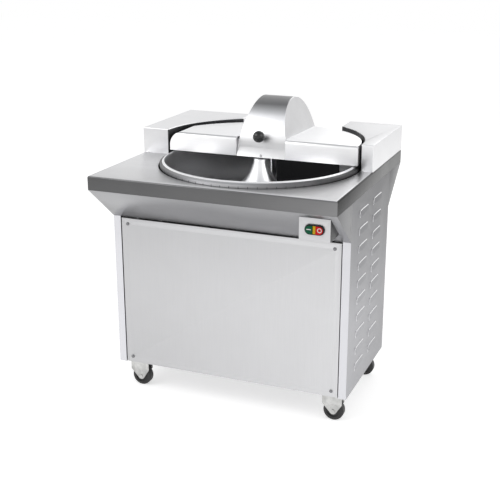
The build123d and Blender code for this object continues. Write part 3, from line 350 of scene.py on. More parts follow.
def painted_light_zone_group() -> bpy.types.NodeTree:
    """Make the group that paints light and shade on the faces which look one way, more or less along a line.

    Returns:
        The group, which gives a factor for the colour.
    """
    bench, given, result = make_group(
        "painted_light_zone",
        {
            "Vector": ORIGIN, "Normal": ORIGIN, "Line": RIGHT, "Start": 0.0, "End": 1.0, "First": 1.0,
            "Last": 1.0, "Facing": FRONT, "Limit": 0.85,
        },
        ("Factor",),
    )
    along = bench.vector("DOT_PRODUCT", given["Vector"], given["Line"]).outputs["Value"]
    tone = bench.spread(along, given["Start"], given["End"], given["First"], given["Last"])
    facing = bench.vector("DOT_PRODUCT", given["Normal"], given["Facing"]).outputs["Value"]
    share = bench.spread(bench.math("SUBTRACT", facing, given["Limit"]), high=SOFT_LIMIT)
    factor = bench.add("ShaderNodeMix", data_type="FLOAT")
    for number, value in ((0, share), (2, 1.0), (3, tone)):
        bench.feed(factor.inputs[number], value)
    bench.feed(result["Factor"], factor.outputs[0])
    return bench.tree


# ------------------------------------------------------------------ kinds of finish


@dataclass(frozen=True)
class PaintedLightZone:
    """Painted light and shade on the faces that look one way, from a start to an end along a line.

    Attributes:
        line: The line's direction.
        start: Where the change starts along it.
        end: Where it ends.
        first: Factor on the colour at the start and before it.
        last: Factor on the colour at the end and after it.
        facing: The way the faces look.
        limit: How closely they look that way, as a cosine.
    """

    line: Point
    start: float
    end: float
    first: float
    last: float
    facing: Point
    limit: float = 0.85

    def factor(self, bench: Bench, place: Sockets) -> Socket:
        """Place the painted light group with this zone's values.

        Args:
            bench: The material's bench.
            place: Outputs of its Texture Coordinate node.

        Returns:
            The factor on the colour.
        """
        return bench.group(
            "painted_light_zone", Vector=place["Object"], Normal=place["Normal"], Line=self.line, Start=self.start,
            End=self.end, First=self.first, Last=self.last, Facing=self.facing, Limit=self.limit,
        )["Factor"]


class Finish(ABC):
    """A surface's finish, which feeds a Principled shader of its own."""

    name: str

    def material(self) -> bpy.types.Material:
        """Build the finish's material.

        Returns:
            The new material.
        """
        made = bpy.data.materials.new(self.name)
        made.use_nodes = True
        self.fill(Bench(made.node_tree), made.node_tree.nodes["Principled BSDF"].inputs)
        return made

    @abstractmethod
    def fill(self, bench: Bench, shader: Sockets) -> None:
        """Feed the shader.

        Args:
            bench: The material's bench.
            shader: Inputs of the Principled shader.
        """


@dataclass(frozen=True)
class Metal(Finish):
    """A brushed, turned or cast metal finish, with painted light and shade zones."""

    name: str
    bright: RGB
    dull: RGB
    roughness: float
    grain: Grain = Grain.ALONG_X
    scratch: float = 0.35
    depth: float = 0.2
    cloud: float = 0.05
    cloud_size: float = 7.0
    centre: Point = ORIGIN
    painted_light_zones: tuple[PaintedLightZone, ...] = ()

    def fill(self, bench: Bench, shader: Sockets) -> None:
        """Feed the shader with scratched and clouded metal, with painted light and shade multiplied in.

        Args:
            bench: The material's bench.
            shader: Inputs of the Principled shader.
        """
        place = bench.add("ShaderNodeTexCoord").outputs
        moved = bench.add(
            "ShaderNodeMapping", vector_type="POINT", Vector=place["Object"],
            Location=[-value for value in self.centre],
        ).outputs[0]
        kind = "round_grain" if self.grain is Grain.ROUND else "brushed_grain"
        grain = bench.group(kind, Vector=moved, Stretch=self.grain.value)
        cloud = bench.group("soft_cloud", Vector=moved, Size=self.cloud_size)["Mask"]
        streak = bench.math("MULTIPLY", grain["Streak"], self.scratch)
        tone = bench.math("SUBTRACT", 1.0, bench.math("MULTIPLY", cloud, self.cloud))
        # Each zone multiplies painted light or shade into the colour, on top of the wiping patches.
        for zone in self.painted_light_zones:
            tone = bench.math("MULTIPLY", tone, zone.factor(bench, place))
        steel = bench.colour(streak, (*self.bright, 1.0), (*self.dull, 1.0))
        low, high = self.roughness * (1 - self.cloud), self.roughness * (1 + self.cloud)
        bump = bench.add("ShaderNodeBump", Strength=self.depth, Distance=0.0004, Height=grain["Height"])
        bench.feed(shader["Metallic"], 1.0)
        bench.feed(shader["Base Color"], bench.colour(1.0, steel, tone, "MULTIPLY"))
        bench.feed(shader["Roughness"], bench.spread(cloud, first=low, last=high))
        bench.feed(shader["Normal"], bump.outputs[0])


@dataclass(frozen=True)
class Skin(Finish):
    """A painted, moulded or rubber finish."""

    name: str
    fresh: RGB
    worn: RGB
    roughness: float
    fleck_size: float = 900.0
    depth: float = 0.08
    coat: float = 0.0
    shine: float = 0.5
    cloud: float = 0.25
    cloud_size: float = 12.0
    fleck: float = 0.15
    unevenness: float = 0.12

    def fill(self, bench: Bench, shader: Sockets) -> None:
        """Feed the shader with a flecked and clouded skin.

        Args:
            bench: The material's bench.
            shader: Inputs of the Principled shader.
        """
        place = bench.add("ShaderNodeTexCoord").outputs["Object"]
        fleck = bench.group("fine_fleck", Vector=place, Size=self.fleck_size)
        cloud = bench.group("soft_cloud", Vector=place, Size=self.cloud_size)["Mask"]
        patches = bench.math("MULTIPLY", cloud, self.cloud)
        wear = bench.math("ADD", patches, bench.math("MULTIPLY", fleck["Mask"], self.fleck))
        low, high = self.roughness * (1 - self.unevenness), self.roughness * (1 + self.unevenness)
        bump = bench.add("ShaderNodeBump", Strength=self.depth, Distance=0.0003, Height=fleck["Height"])
        bench.feed(shader["Coat Weight"], self.coat)
        bench.feed(shader["Specular IOR Level"], self.shine)
        bench.feed(shader["Base Color"], bench.colour(wear, (*self.fresh, 1.0), (*self.worn, 1.0)))
        bench.feed(shader["Roughness"], bench.spread(cloud, first=low, last=high))
        bench.feed(shader["Normal"], bump.outputs[0])


@cache
def material_of(finish: Finish) -> bpy.types.Material:
    """Build a finish's material when it is first asked for, and hand out the same one after that."""
    return finish.material()


# ------------------------------------------------------------------ the cutter's finishes

# Painted shade and reflection: the worktop's front band is darkened almost to black and lightens towards the
# right, its right-hand band is darkened further still, and its top darkens towards the front.
WORKTOP_STEEL = Metal(
    "worktop_brushed_steel_painted_shade", (0.78, 0.78, 0.79), (0.68, 0.68, 0.69), 0.33,
    painted_light_zones=(
        PaintedLightZone(RIGHT, -HALF_LENGTH, HALF_LENGTH, 0.14, 0.2, FRONT, 0.5),
        PaintedLightZone(RIGHT, 0.1, HALF_LENGTH, 1.0, 1.5, FRONT, 0.5),
        PaintedLightZone(REAR, -HALF_DEPTH, -0.1, 0.8, 0.98, UP),
        PaintedLightZone(REAR, -HALF_DEPTH, HALF_DEPTH, 0.042, 0.088, RIGHT, 0.3),
    ),
)
# Painted shade: the skirts take a darker copy of the sheet steel, a little darker again at the far left, with
# their right-facing sides darkened to half.
SKIRT_STEEL = Metal(
    "skirt_steel_painted_shade", (0.37, 0.37, 0.38), (0.31, 0.31, 0.32), 0.34,
    painted_light_zones=(
        PaintedLightZone(RIGHT, -HALF_LENGTH, -0.3, 0.95, 1.0, (0.0, -0.63, -0.78), 0.7),
        PaintedLightZone(UP, 0.57, 0.69, 0.5, 0.48, RIGHT),
    ),
)
# Painted reflection: the front-facing faces of the panels lighten from left to right.
PANEL_STEEL = Metal(
    "front_panel_steel_painted_reflection", (0.6, 0.6, 0.61), (0.535, 0.535, 0.545), 0.42, Grain.ALONG_Z, cloud=0.015,
    painted_light_zones=(PaintedLightZone(RIGHT, -0.36, 0.36, 0.9, 1.08, FRONT),),
)
# Painted shade: the side panels take a darker copy of the sheet steel, their right-facing faces darken
# towards the top and the rear, and their front-facing faces are lightened.
SIDE_STEEL = Metal(
    "side_panel_steel_painted_shade", (0.44, 0.44, 0.458), (0.385, 0.385, 0.4), 0.4, Grain.ALONG_Y, cloud=0.03,
    painted_light_zones=(
        PaintedLightZone(UP, 0.3, 0.69, 1.0, 0.42, RIGHT),
        PaintedLightZone(REAR, -0.21, 0.21, 1.0, 0.72, RIGHT),
        PaintedLightZone(UP, 0.1, 0.69, 1.6, 1.5, FRONT),
    ),
)
# Painted highlight: a near-white copy of the sheet steel for the beads along the louvres' bends.
LOUVRE_LIP_HIGHLIGHT = Metal("louvre_lip_painted_highlight", (0.93, 0.93, 0.94), (0.8, 0.8, 0.81), 0.28, Grain.CAST)
# Painted highlight and shade: the housings' front faces lighten from left to right, their tops darken towards
# the right, and their rear faces are darkened.
HOUSING_STEEL = Metal(
    "housing_brushed_steel_painted_highlight_and_shade", (0.8, 0.8, 0.81), (0.72, 0.72, 0.73), 0.34, cloud=0.03,
    painted_light_zones=(
        PaintedLightZone(RIGHT, -HALF_LENGTH, HALF_LENGTH, 0.84, 1.2, FRONT),
        PaintedLightZone(RIGHT, -HALF_LENGTH, HALF_LENGTH, 1.02, 0.86, UP),
        PaintedLightZone(UP, 0.73, 0.82, 0.82, 0.86, REAR),
    ),
)
# Painted shade: a near-black copy of the housing steel for the curved wall round the lid.
HOUSING_PAINTED_SHADE = Metal(
    "housing_inner_wall_painted_shade", (0.06, 0.06, 0.063), (0.035, 0.035, 0.037), 0.4, Grain.ALONG_Z,
)
# Painted shade: the lid's flat top is darkened, a little less towards the right, and the sloping shoulder at
# its front is darkened to about half.
LID_STEEL = Metal(
    "lid_polished_steel_painted_shade", (0.97, 0.97, 0.975), (0.9, 0.9, 0.91), 0.46, cloud=0.02,
    painted_light_zones=(
        PaintedLightZone(RIGHT, -0.28, 0.33, 0.76, 0.88, UP, 0.97),
        PaintedLightZone(RIGHT, -0.28, 0.33, 0.5, 0.6, (0.0, -0.6, 0.8), 0.9),
    ),
)
# Painted reflection and shade: the hood's sloping front is lightened below its crest, darkened to a dark band
# at the crest and darker near its foot, and its right side and back are darkened.
HOOD_STEEL = Metal(
    "hood_polished_steel_painted_reflection_and_shade", (0.84, 0.84, 0.85), (0.76, 0.76, 0.77), 0.37, Grain.ALONG_Z, cloud=0.04,
    cloud_size=14.0,
    painted_light_zones=(
        PaintedLightZone(UP, 0.872, 0.902, 1.18, 0.27, (0.0, -0.7, 0.7), 0.6),
        PaintedLightZone(UP, 0.795, 0.824, 0.66, 1.0, (0.0, -0.7, 0.7), 0.6),
        PaintedLightZone(UP, 0.8, 0.9, 0.84, 0.78, (1.0, 0.0, 0.15), 0.8),
        PaintedLightZone(UP, 0.8, 0.9, 0.78, 0.7, (0.0, 0.9, 0.43), 0.55),
    ),
)
BOWL_STEEL = Metal(
    "bowl_turned_steel", (0.95, 0.95, 0.96), (0.8, 0.8, 0.81), 0.31, Grain.ROUND, depth=0.3,
    centre=AXIS_OF_BOWL,
)
# Painted shade: the band round the rim takes a darker copy of the bowl's steel, darkening further towards its
# left and right ends.
RIM_BAND_STEEL = Metal(
    "bowl_rim_band_painted_shade", (0.5, 0.5, 0.51), (0.38, 0.38, 0.39), 0.4, Grain.ROUND, depth=0.3,
    centre=AXIS_OF_BOWL,
    painted_light_zones=(
        PaintedLightZone(RIGHT, -0.27, -0.03, 0.1, 1.0, FRONT, -0.3),
        PaintedLightZone(RIGHT, 0.08, 0.28, 1.0, 0.2, FRONT, -0.3),
    ),
)
RIM_TOP_STEEL = Metal(
    "bowl_rim_top_steel", (0.96, 0.96, 0.965), (0.86, 0.86, 0.87), 0.5, Grain.ROUND, centre=AXIS_OF_BOWL,
)
# Painted shade: the control box's right-facing side is darkened to about a tenth.
CONTROL_STEEL = Metal(
    "control_box_steel_painted_shade", (0.6, 0.6, 0.61), (0.53, 0.53, 0.54), 0.36,
    painted_light_zones=(PaintedLightZone(UP, 0.6, 0.69, 0.1, 0.15, RIGHT),),
)
TURNED_STEEL = Metal(
    "ground_shaft_steel", (0.62, 0.62, 0.63), (0.42, 0.42, 0.43), 0.25, Grain.CAST, depth=0.15,
)
BLADE_STEEL = Metal("knife_ground_steel", (0.7, 0.7, 0.71), (0.5, 0.5, 0.51), 0.2, Grain.ALONG_Z)
ZINC = Metal(
    "zinc_plated_steel", (0.66, 0.66, 0.65), (0.46, 0.46, 0.45), 0.36, Grain.CAST, cloud=0.25,
    cloud_size=30.0,
)
IRON = Metal("pulley_cast_iron", (0.26, 0.26, 0.27), (0.16, 0.16, 0.165), 0.5, Grain.CAST, depth=0.6)

FRAME_PAINT = Skin("frame_grey_paint", (0.36, 0.37, 0.38), (0.22, 0.22, 0.22), 0.48)
MACHINE_PAINT = Skin("motor_blue_grey_paint", (0.16, 0.2, 0.24), (0.09, 0.1, 0.12), 0.45, 500.0, 0.2)
BELT_RUBBER = Skin("belt_rubber", (0.018, 0.018, 0.019), (0.04, 0.04, 0.04), 0.7, 1500.0, 0.3)
WHEEL_RUBBER = Skin("wheel_black_rubber", (0.02, 0.02, 0.021), (0.06, 0.058, 0.055), 0.52, 1100.0, 0.25)
BLACK_PLASTIC = Skin("black_plastic", (0.01, 0.01, 0.011), (0.02, 0.02, 0.021), 0.42, 1200.0, 0.1, shine=0.25)
KNOB_PLASTIC = Skin(
    "knob_glossy_black", (0.004, 0.004, 0.0045), (0.008, 0.008, 0.009), 0.22, 700.0, 0.02, 0.2,
)
SCRAPER_PLASTIC = Skin(
    "scraper_black_plastic", (0.004, 0.004, 0.0045), (0.008, 0.008, 0.009), 0.6, 600.0, 0.1, shine=0.1,
)
GREEN_PLASTIC = Skin(
    "start_green_plastic", (0.0, 0.1, 0.045), (0.0, 0.06, 0.028), 0.4, 900.0, 0.05, shine=0.2,
)
RED_PLASTIC = Skin("stop_red_plastic", (0.66, 0.014, 0.014), (0.48, 0.01, 0.01), 0.4, 900.0, 0.05, shine=0.2)
AMBER_LENS = Skin("lamp_amber_lens", (0.72, 0.48, 0.01), (0.6, 0.36, 0.008), 0.3, 500.0, 0.12, shine=0.25)
WHITE_INLAY = Skin("white_inlay", (0.84, 0.84, 0.82), (0.66, 0.66, 0.64), 0.4, 900.0, 0.05)
TICK_ENAMEL = Skin("tick_dark_enamel", (0.03, 0.03, 0.033), (0.08, 0.08, 0.085), 0.45, 900.0, 0.1)


# ------------------------------------------------------------------ dressing and shaping


def coat(target: bpy.types.Object, finish: Finish) -> None:
    """Give an object one finish all over.

    Args:
        target: The mesh object.
        finish: Its finish.
    """
    target.data.materials.clear()
    target.data.materials.append(material_of(finish))
    for face in target.data.polygons:
        face.material_index = 0


def refinish(target: bpy.types.Object, finish: Finish, chosen: Callable[[Vector, Vector], bool]) -> None:
    """Give some faces of a dressed piece a second finish.

    Args:
        target: The mesh object.
        finish: The second finish.
        chosen: Says from a face's middle and normal whether it takes the finish.
    """
    target.data.materials.append(material_of(finish))
    for face in target.data.polygons:
        if chosen(face.center, face.normal):
            face.material_index = len(target.data.materials) - 1


def reach(spot: Vector, axis: Point) -> float:
    """Measure how far a spot lies from an upright axis."""
    return (spot.xy - Vector(axis).xy).length


def only(target: bpy.types.Object) -> None:
    """Select one object alone and make it active.

    Args:
        target: The object.
    """
    bpy.ops.object.select_all(action="DESELECT")
    target.select_set(True)
    bpy.context.view_layer.objects.active = target


def in_edit_mode(target: bpy.types.Object, work: Callable[[], None]) -> None:
    """Run work in edit mode with the whole mesh selected.

    Args:
        target: The mesh object.
        work: What is done there.
    """
    only(target)
    bpy.ops.object.mode_set(mode="EDIT")
    bpy.ops.mesh.select_all(action="SELECT")
    work()
    bpy.ops.object.mode_set(mode="OBJECT")


def close_up() -> None:
    """Merge the seams of the mesh in edit mode and turn its faces outwards."""
    bpy.ops.mesh.select_all(action="SELECT")
    bpy.ops.mesh.remove_doubles(threshold=CLOSE_REACH)
    bpy.ops.mesh.select_all(action="SELECT")
    bpy.ops.mesh.normals_make_consistent(inside=False)


def soften(target: bpy.types.Object, width: float = 0.0, segments: int = 2,
           turn: float = SHARP_TURN) -> None:
    """Round the sharp edges a little and smooth the curved faces.

    Args:
        target: The mesh object.
        width: Width of the rounding, or 0 for none.
        segments: Steps across the rounding.
        turn: Edges that turn more than this, in degrees, are sharp.
    """
    only(target)
    if width > 0:
        rounding = target.modifiers.new("edge_rounding", "BEVEL")
        rounding.width = width
        rounding.segments = segments
        rounding.limit_method = "ANGLE"
        rounding.angle_limit = radians(turn)
        rounding.use_clamp_overlap = True
        bpy.ops.object.modifier_apply(modifier=rounding.name)
    bpy.ops.object.shade_smooth_by_angle(angle=radians(turn))


def merged_copy(node: str) -> bpy.types.Object:
    """Copy a CAD node and merge its loose triangles into whole faces.

    Args:
        node: Name of the CAD node.

    Returns:
        The copy, which is free of the frame.
    """
    only(FRAME["nodes"][node])
    bpy.ops.object.duplicate()
    piece = bpy.context.view_layer.objects.active
    piece.parent = None
    for key in [key for key in piece.keys() if key.startswith("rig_")]:
        del piece[key]
    piece.name = node + "_skin"
    if piece.data.has_custom_normals:
        bpy.ops.mesh.customdata_custom_splitnormals_clear()

    def merge() -> None:
        """Join the loose triangles and clear the lines across flat faces."""
        bpy.ops.mesh.remove_doubles(threshold=MERGE_REACH)
        bpy.ops.mesh.dissolve_limited(angle_limit=radians(FLAT_TURN), delimit=set())

    in_edit_mode(piece, merge)
    return piece


def started(name: str, primitive: Callable[..., set[str]], **sizes: object) -> bpy.types.Object:
    """Add a primitive alone and keep its place in its mesh.

    Args:
        name: Name of the new piece.
        primitive: The operator that adds it.
        sizes: The operator's sizes and place.

    Returns:
        The new piece, still to be shaped.
    """
    bpy.ops.object.select_all(action="DESELECT")
    primitive(**sizes)
    piece = bpy.context.view_layer.objects.active
    piece.name = name
    bpy.ops.object.transform_apply(location=True, rotation=True, scale=True)
    return piece


def drawn_line(name: str, spots: list[Vector]) -> bpy.types.Object:
    """Draw a line of edges from spot to spot.

    Args:
        name: Name of the new piece.
        spots: The spots in turn.

    Returns:
        The line, still to be spun or thickened.
    """
    piece = started(name, bpy.ops.mesh.primitive_plane_add, size=0.001, location=spots[0])

    def draw() -> None:
        """Shrink the plane to a point and draw it out."""
        bpy.ops.mesh.merge(type="CENTER")
        for before, after in zip(spots, spots[1:]):
            bpy.ops.mesh.extrude_vertices_move(TRANSFORM_OT_translate={"value": after - before})

    in_edit_mode(piece, draw)
    return piece


def turned(name: str, profile: Iterable[tuple[float, float]], centre: Point, axis: Point,
           steps: int) -> bpy.types.Object:
    """Turn a profile about an axis into a closed solid.

    Args:
        name: Name of the new piece.
        profile: Distance from the axis and place along it, for each corner in turn.
        centre: The axis's start.
        axis: The axis's direction, square to X.
        steps: Steps round the axis.

    Returns:
        The new piece.
    """
    start, across, along = Vector(centre), Vector(RIGHT), Vector(axis)
    piece = drawn_line(name, [start + across * out + along * up for out, up in profile])

    def spin() -> None:
        """Spin the profile all the way round."""
        bpy.ops.mesh.spin(steps=steps, angle=2 * pi, center=centre, axis=axis)
        close_up()

    in_edit_mode(piece, spin)
    return piece


# ------------------------------------------------------------------ sub-assemblies


@dataclass
class SubAssembly(ABC):
    """Pieces that are dressed together, with their names as they are made."""

    made: list[str] = field(default_factory=list)

    @abstractmethod
    def build(self) -> list[str]:
        """Dress the sub-assembly's pieces.

        Returns:
            Their names.
        """

    def paint(self, finish: Finish, *nodes: str) -> None:
        """Finish CAD nodes that keep their own mesh.

        Args:
            finish: Their finish.
            nodes: Names of the nodes.
        """
        for node in nodes:
            coat(FRAME["nodes"][node], finish)
            self.made.append(node)

    def fit(self, piece: bpy.types.Object, body: str, finish: Finish, slot: str) -> None:
        """Finish a piece and let it move with its body.

        Args:
            piece: The piece.
            body: The body it moves with.
            finish: Its finish.
            slot: The record's material slot; not used.
        """
        coat(piece, finish)
        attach(piece, body)
        self.made.append(piece.name)

    def refine(self, node: str, finish: Finish, slot: str, edge: float, body: str = "cabinet",
               turn: float = SHARP_TURN) -> bpy.types.Object:
        """Stand a merged, edge-rounded and smoothed copy in for a CAD node.

        Args:
            node: Name of the CAD node.
            finish: Its finish.
            slot: The record's material slot.
            edge: Width of the rounding along its sharp edges, or 0 for none.
            body: The body it moves with.
            turn: Edges that turn more than this, in degrees, are sharp.

        Returns:
            The new piece.
        """
        piece = merged_copy(node)
        soften(piece, edge, turn=turn)
        self.fit(piece, body, finish, slot)
        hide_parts(node)
        return piece


@dataclass
class Cabinet(SubAssembly):
    """The sheet-steel cabinet under the worktop, with its frame and panels."""

    edge: float = 0.0006
    thin_edge: float = 0.0003
    louvre_turn: float = 9.0
    louvre_bulge: float = 0.005
    louvre_drop: float = 0.0155
    louvre_end: float = 0.012
    louvre_length: float = 0.093
    louvre_top: float = 0.649
    louvre_pitch: float = 0.0534
    louvre_rows: int = 10
    column_start: float = -0.130
    column_pitch: float = 0.150
    lip_width: float = 0.0028
    lip_path: tuple[tuple[float, float], ...] = (
        (0.0006, 0.020), (0.0006, 0.007), (0.0025, 0.0025), (0.007, 0.0004), (0.03, 0.0), (0.06, 0.0004),
        (0.086, 0.0012),
    )

    def build(self) -> list[str]:
        """Dress the panels, skirts, frame and fittings.

        Returns:
            Names of the pieces.
        """
        sheets = (
            ("worktop", WORKTOP_STEEL), ("front_skirt", SKIRT_STEEL), ("rear_skirt", SKIRT_STEEL),
            ("front_panel", PANEL_STEEL), ("rear_panel", PANEL_STEEL), ("base_plate", SKIRT_STEEL),
        )
        for node, finish in sheets:
            self.refine(node, finish, "stainless_sheet", self.edge)
        for side, label in ((-1, "left"), (1, "right")):
            self.refine(
                label + "_side_panel", SIDE_STEEL, "stainless_sheet", self.thin_edge, turn=self.louvre_turn,
            )
            self._louvre_highlight_lips(side, label)
        self.paint(FRAME_PAINT, "frame_posts", "frame_rails", "gearbox_bridge", "motor_mount")
        self.refine("panel_screws", IRON, "zinc_steel", self.thin_edge)
        self.refine("cable_gland", BLACK_PLASTIC, "black_plastic", self.edge)
        return self.made

    def _on_louvre(self, side: int, along: float, drop: float) -> Vector:
        """Find a spot on the skin of a side panel's first louvre.

        Args:
            side: -1 for the left panel, 1 for the right one.
            along: Distance from the louvre's front end.
            drop: Distance below its upper edge.

        Returns:
            The spot.
        """
        ends = min(along, self.louvre_length - along) / self.louvre_end
        rise = max(0.0, min(drop / self.louvre_drop, ends, 1.0))
        outside = side * (HALF_LENGTH + self.louvre_bulge * rise)
        return Vector((outside, self.column_start + along, self.louvre_top - drop))

    def _louvre_highlight_lips(self, side: int, label: str) -> None:
        """Lay a raised lip bead along every louvre of one side panel, whose brightness is a painted highlight
        of the louvre's bend.

        Args:
            side: -1 for the left panel, 1 for the right one.
            label: The panel's side in words.
        """
        path = [self._on_louvre(side, along, drop) for along, drop in self.lip_path]
        lips = drawn_line(label + "_louvre_highlight_lips", path)
        section = lips.modifiers.new("lip_section", "SKIN")
        section.use_smooth_shade = True
        for vertex in lips.data.skin_vertices[0].data:
            vertex.radius = (self.lip_width / 2, self.lip_width / 2)
        lips.data.skin_vertices[0].data[0].use_root = True
        bpy.ops.object.modifier_apply(modifier=section.name)

        def repeat() -> None:
            """Copy the lip down the first column, and that column to the second."""
            for _ in range(self.louvre_rows - 1):
                bpy.ops.mesh.duplicate_move(TRANSFORM_OT_translate={"value": (0.0, 0.0, -self.louvre_pitch)})
            bpy.ops.mesh.select_all(action="SELECT")
            bpy.ops.mesh.duplicate_move(TRANSFORM_OT_translate={"value": (0.0, self.column_pitch, 0.0)})

        in_edit_mode(lips, repeat)
        soften(lips)
        self.fit(lips, "cabinet", LOUVRE_LIP_HIGHLIGHT, "stainless_sheet")


@dataclass
class Housings(SubAssembly):
    """The two flat housings behind the lid, with the lid switch and the hinge's bracket."""

    edge: float = 0.0005
    wall_middle: Point = (0.026, 0.0, 0.0)
    wall_radius: float = 0.315
    wall_reach: float = 0.004
    upright: float = 0.3

    def build(self) -> list[str]:
        """Dress the housings.

        Returns:
            Names of the pieces.
        """
        for node in ("left_block", "right_block"):
            block = self.refine(node, HOUSING_STEEL, "stainless_sheet", self.edge)
            # The curved wall round the lid takes the near-black painted shade.
            refinish(block, HOUSING_PAINTED_SHADE, self._is_inner_wall)
        self.refine("hinge_bracket", ZINC, "machined_steel", self.edge)
        self.refine("hinge_pin", TURNED_STEEL, "machined_steel", self.edge)
        self.refine("lid_switch", BLACK_PLASTIC, "black_plastic", self.edge)
        return self.made

    def _is_inner_wall(self, middle: Vector, normal: Vector) -> bool:
        """Say whether a face belongs to the curved wall round the lid."""
        off_wall = abs(reach(middle, self.wall_middle) - self.wall_radius)
        return off_wall < self.wall_reach and abs(normal.z) < self.upright


@dataclass
class Bowl(SubAssembly):
    """The turning bowl, with the folded band and the division marks round its rim."""

    edge: float = 0.0006
    rim_inner: float = 0.2925
    rim_slope: float = 0.5
    rim_edge_z: float = 0.7425
    band_inner: float = 0.2988
    band_crest_z: float = 0.7462
    band_foot_z: float = 0.7226
    band_skin: float = 0.0004
    band_steps: int = 192
    band_turn: float = 25.0
    mark_count: int = 72
    mark_width: float = 0.0016
    mark_height: float = 0.0062
    mark_thickness: float = 0.0008
    mark_drop: float = 0.0078
    mark_edge: float = 0.0002

    def build(self) -> list[str]:
        """Dress the bowl, fit its rim band and set its division marks.

        Returns:
            Names of the pieces.
        """
        skin = self.refine("bowl", BOWL_STEEL, "bowl_steel", self.edge, "bowl")
        refinish(skin, RIM_TOP_STEEL, self._is_rim_top)
        self.paint(TURNED_STEEL, "bowl_spindle")
        rim_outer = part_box("bowl")[1].x - AXIS_OF_BOWL[0]
        self._rim_band(rim_outer)
        self._marks(rim_outer + self.band_skin)
        return self.made

    def _is_rim_top(self, middle: Vector, normal: Vector) -> bool:
        """Say whether a face belongs to the sloping top of the rim."""
        return reach(middle, AXIS_OF_BOWL) > self.rim_inner and normal.z > self.rim_slope

    def _rim_band(self, outer: float) -> None:
        """Fit the folded band round the rim, over its edge and down its side.

        Args:
            outer: Radius of the rim's side.
        """
        skin, inner = self.band_skin, self.band_inner
        crest, top, foot = self.band_crest_z, self.rim_edge_z, self.band_foot_z
        over_rim = ((inner, crest), (inner + skin, crest + skin), (outer - skin, top + 1.6 * skin))
        down_side = ((outer + skin, top), (outer + skin, foot + skin), (outer, foot))
        back_up = ((outer - 2 * skin, foot + skin), (outer - 2 * skin, top - 3 * skin), (inner, crest))
        band = turned("bowl_rim_band", over_rim + down_side + back_up, AXIS_OF_BOWL, UP, self.band_steps)
        soften(band, turn=self.band_turn)
        self.fit(band, "bowl", RIM_BAND_STEEL, "bowl_steel")

    def _marks(self, radius: float) -> None:
        """Set the division marks round the band.

        Args:
            radius: Radius of the band's outer face.
        """
        marks = started(
            "bowl_rim_marks", bpy.ops.mesh.primitive_cube_add, size=1.0,
            location=(AXIS_OF_BOWL[0], AXIS_OF_BOWL[1] - radius, self.rim_edge_z - self.mark_drop),
            scale=(self.mark_width, self.mark_thickness, self.mark_height),
        )

        def repeat() -> None:
            """Copy the one mark round the bowl's axis."""
            bpy.ops.mesh.spin(steps=self.mark_count, angle=2 * pi, center=AXIS_OF_BOWL, axis=UP, dupli=True)
            close_up()

        in_edit_mode(marks, repeat)
        soften(marks, self.mark_edge, 1)
        self.fit(marks, "bowl", TICK_ENAMEL, "black_plastic")


@dataclass
class KnifeSet(SubAssembly):
    """The knives on their shaft, the quill that carries it, and the drives of knives and bowl."""

    edge: float = 0.0004
    knives: tuple[str, ...] = ("knife_1", "knife_2", "knife_3")

    def build(self) -> list[str]:
        """Dress the knives and the drives.

        Returns:
            Names of the pieces.
        """
        for knife in self.knives:
            self.refine(knife, BLADE_STEEL, "machined_steel", self.edge, "knives")
        self.paint(TURNED_STEEL, "knife_shaft", "knife_spacers", "knife_nut", "knife_quill", "knife_bearings")
        self.paint(TURNED_STEEL, "motor_shaft")
        self.paint(IRON, "knife_pulley", "motor_pulley")
        self.paint(MACHINE_PAINT, "bearing_pedestal", "motor_body", "gearbox_housing", "bowl_motor")
        self.paint(BELT_RUBBER, "knife_belts")
        return self.made


@dataclass
class Lid(SubAssembly):
    """The half lid with the knife hood, its knob, catch pin and scraper."""

    edge: float = 0.0005
    scraper_edge: float = 0.0008
    screw_edge: float = 0.0003

    def build(self) -> list[str]:
        """Dress the lid's pieces.

        Returns:
            Names of the pieces.
        """
        rows = (
            ("lid_shell", LID_STEEL, "stainless_sheet", self.edge),
            ("knife_hood", HOOD_STEEL, "stainless_sheet", 0.0),
            ("lid_knob", KNOB_PLASTIC, "black_plastic", 0.0),
            ("catch_pin", TURNED_STEEL, "machined_steel", 0.0),
            ("lid_hinge_arms", ZINC, "machined_steel", self.edge),
            ("bowl_scraper", SCRAPER_PLASTIC, "scraper_plastic", self.scraper_edge),
            ("scraper_screws", ZINC, "zinc_steel", self.screw_edge),
        )
        for node, finish, slot, edge in rows:
            self.refine(node, finish, slot, edge, "lid")
        return self.made


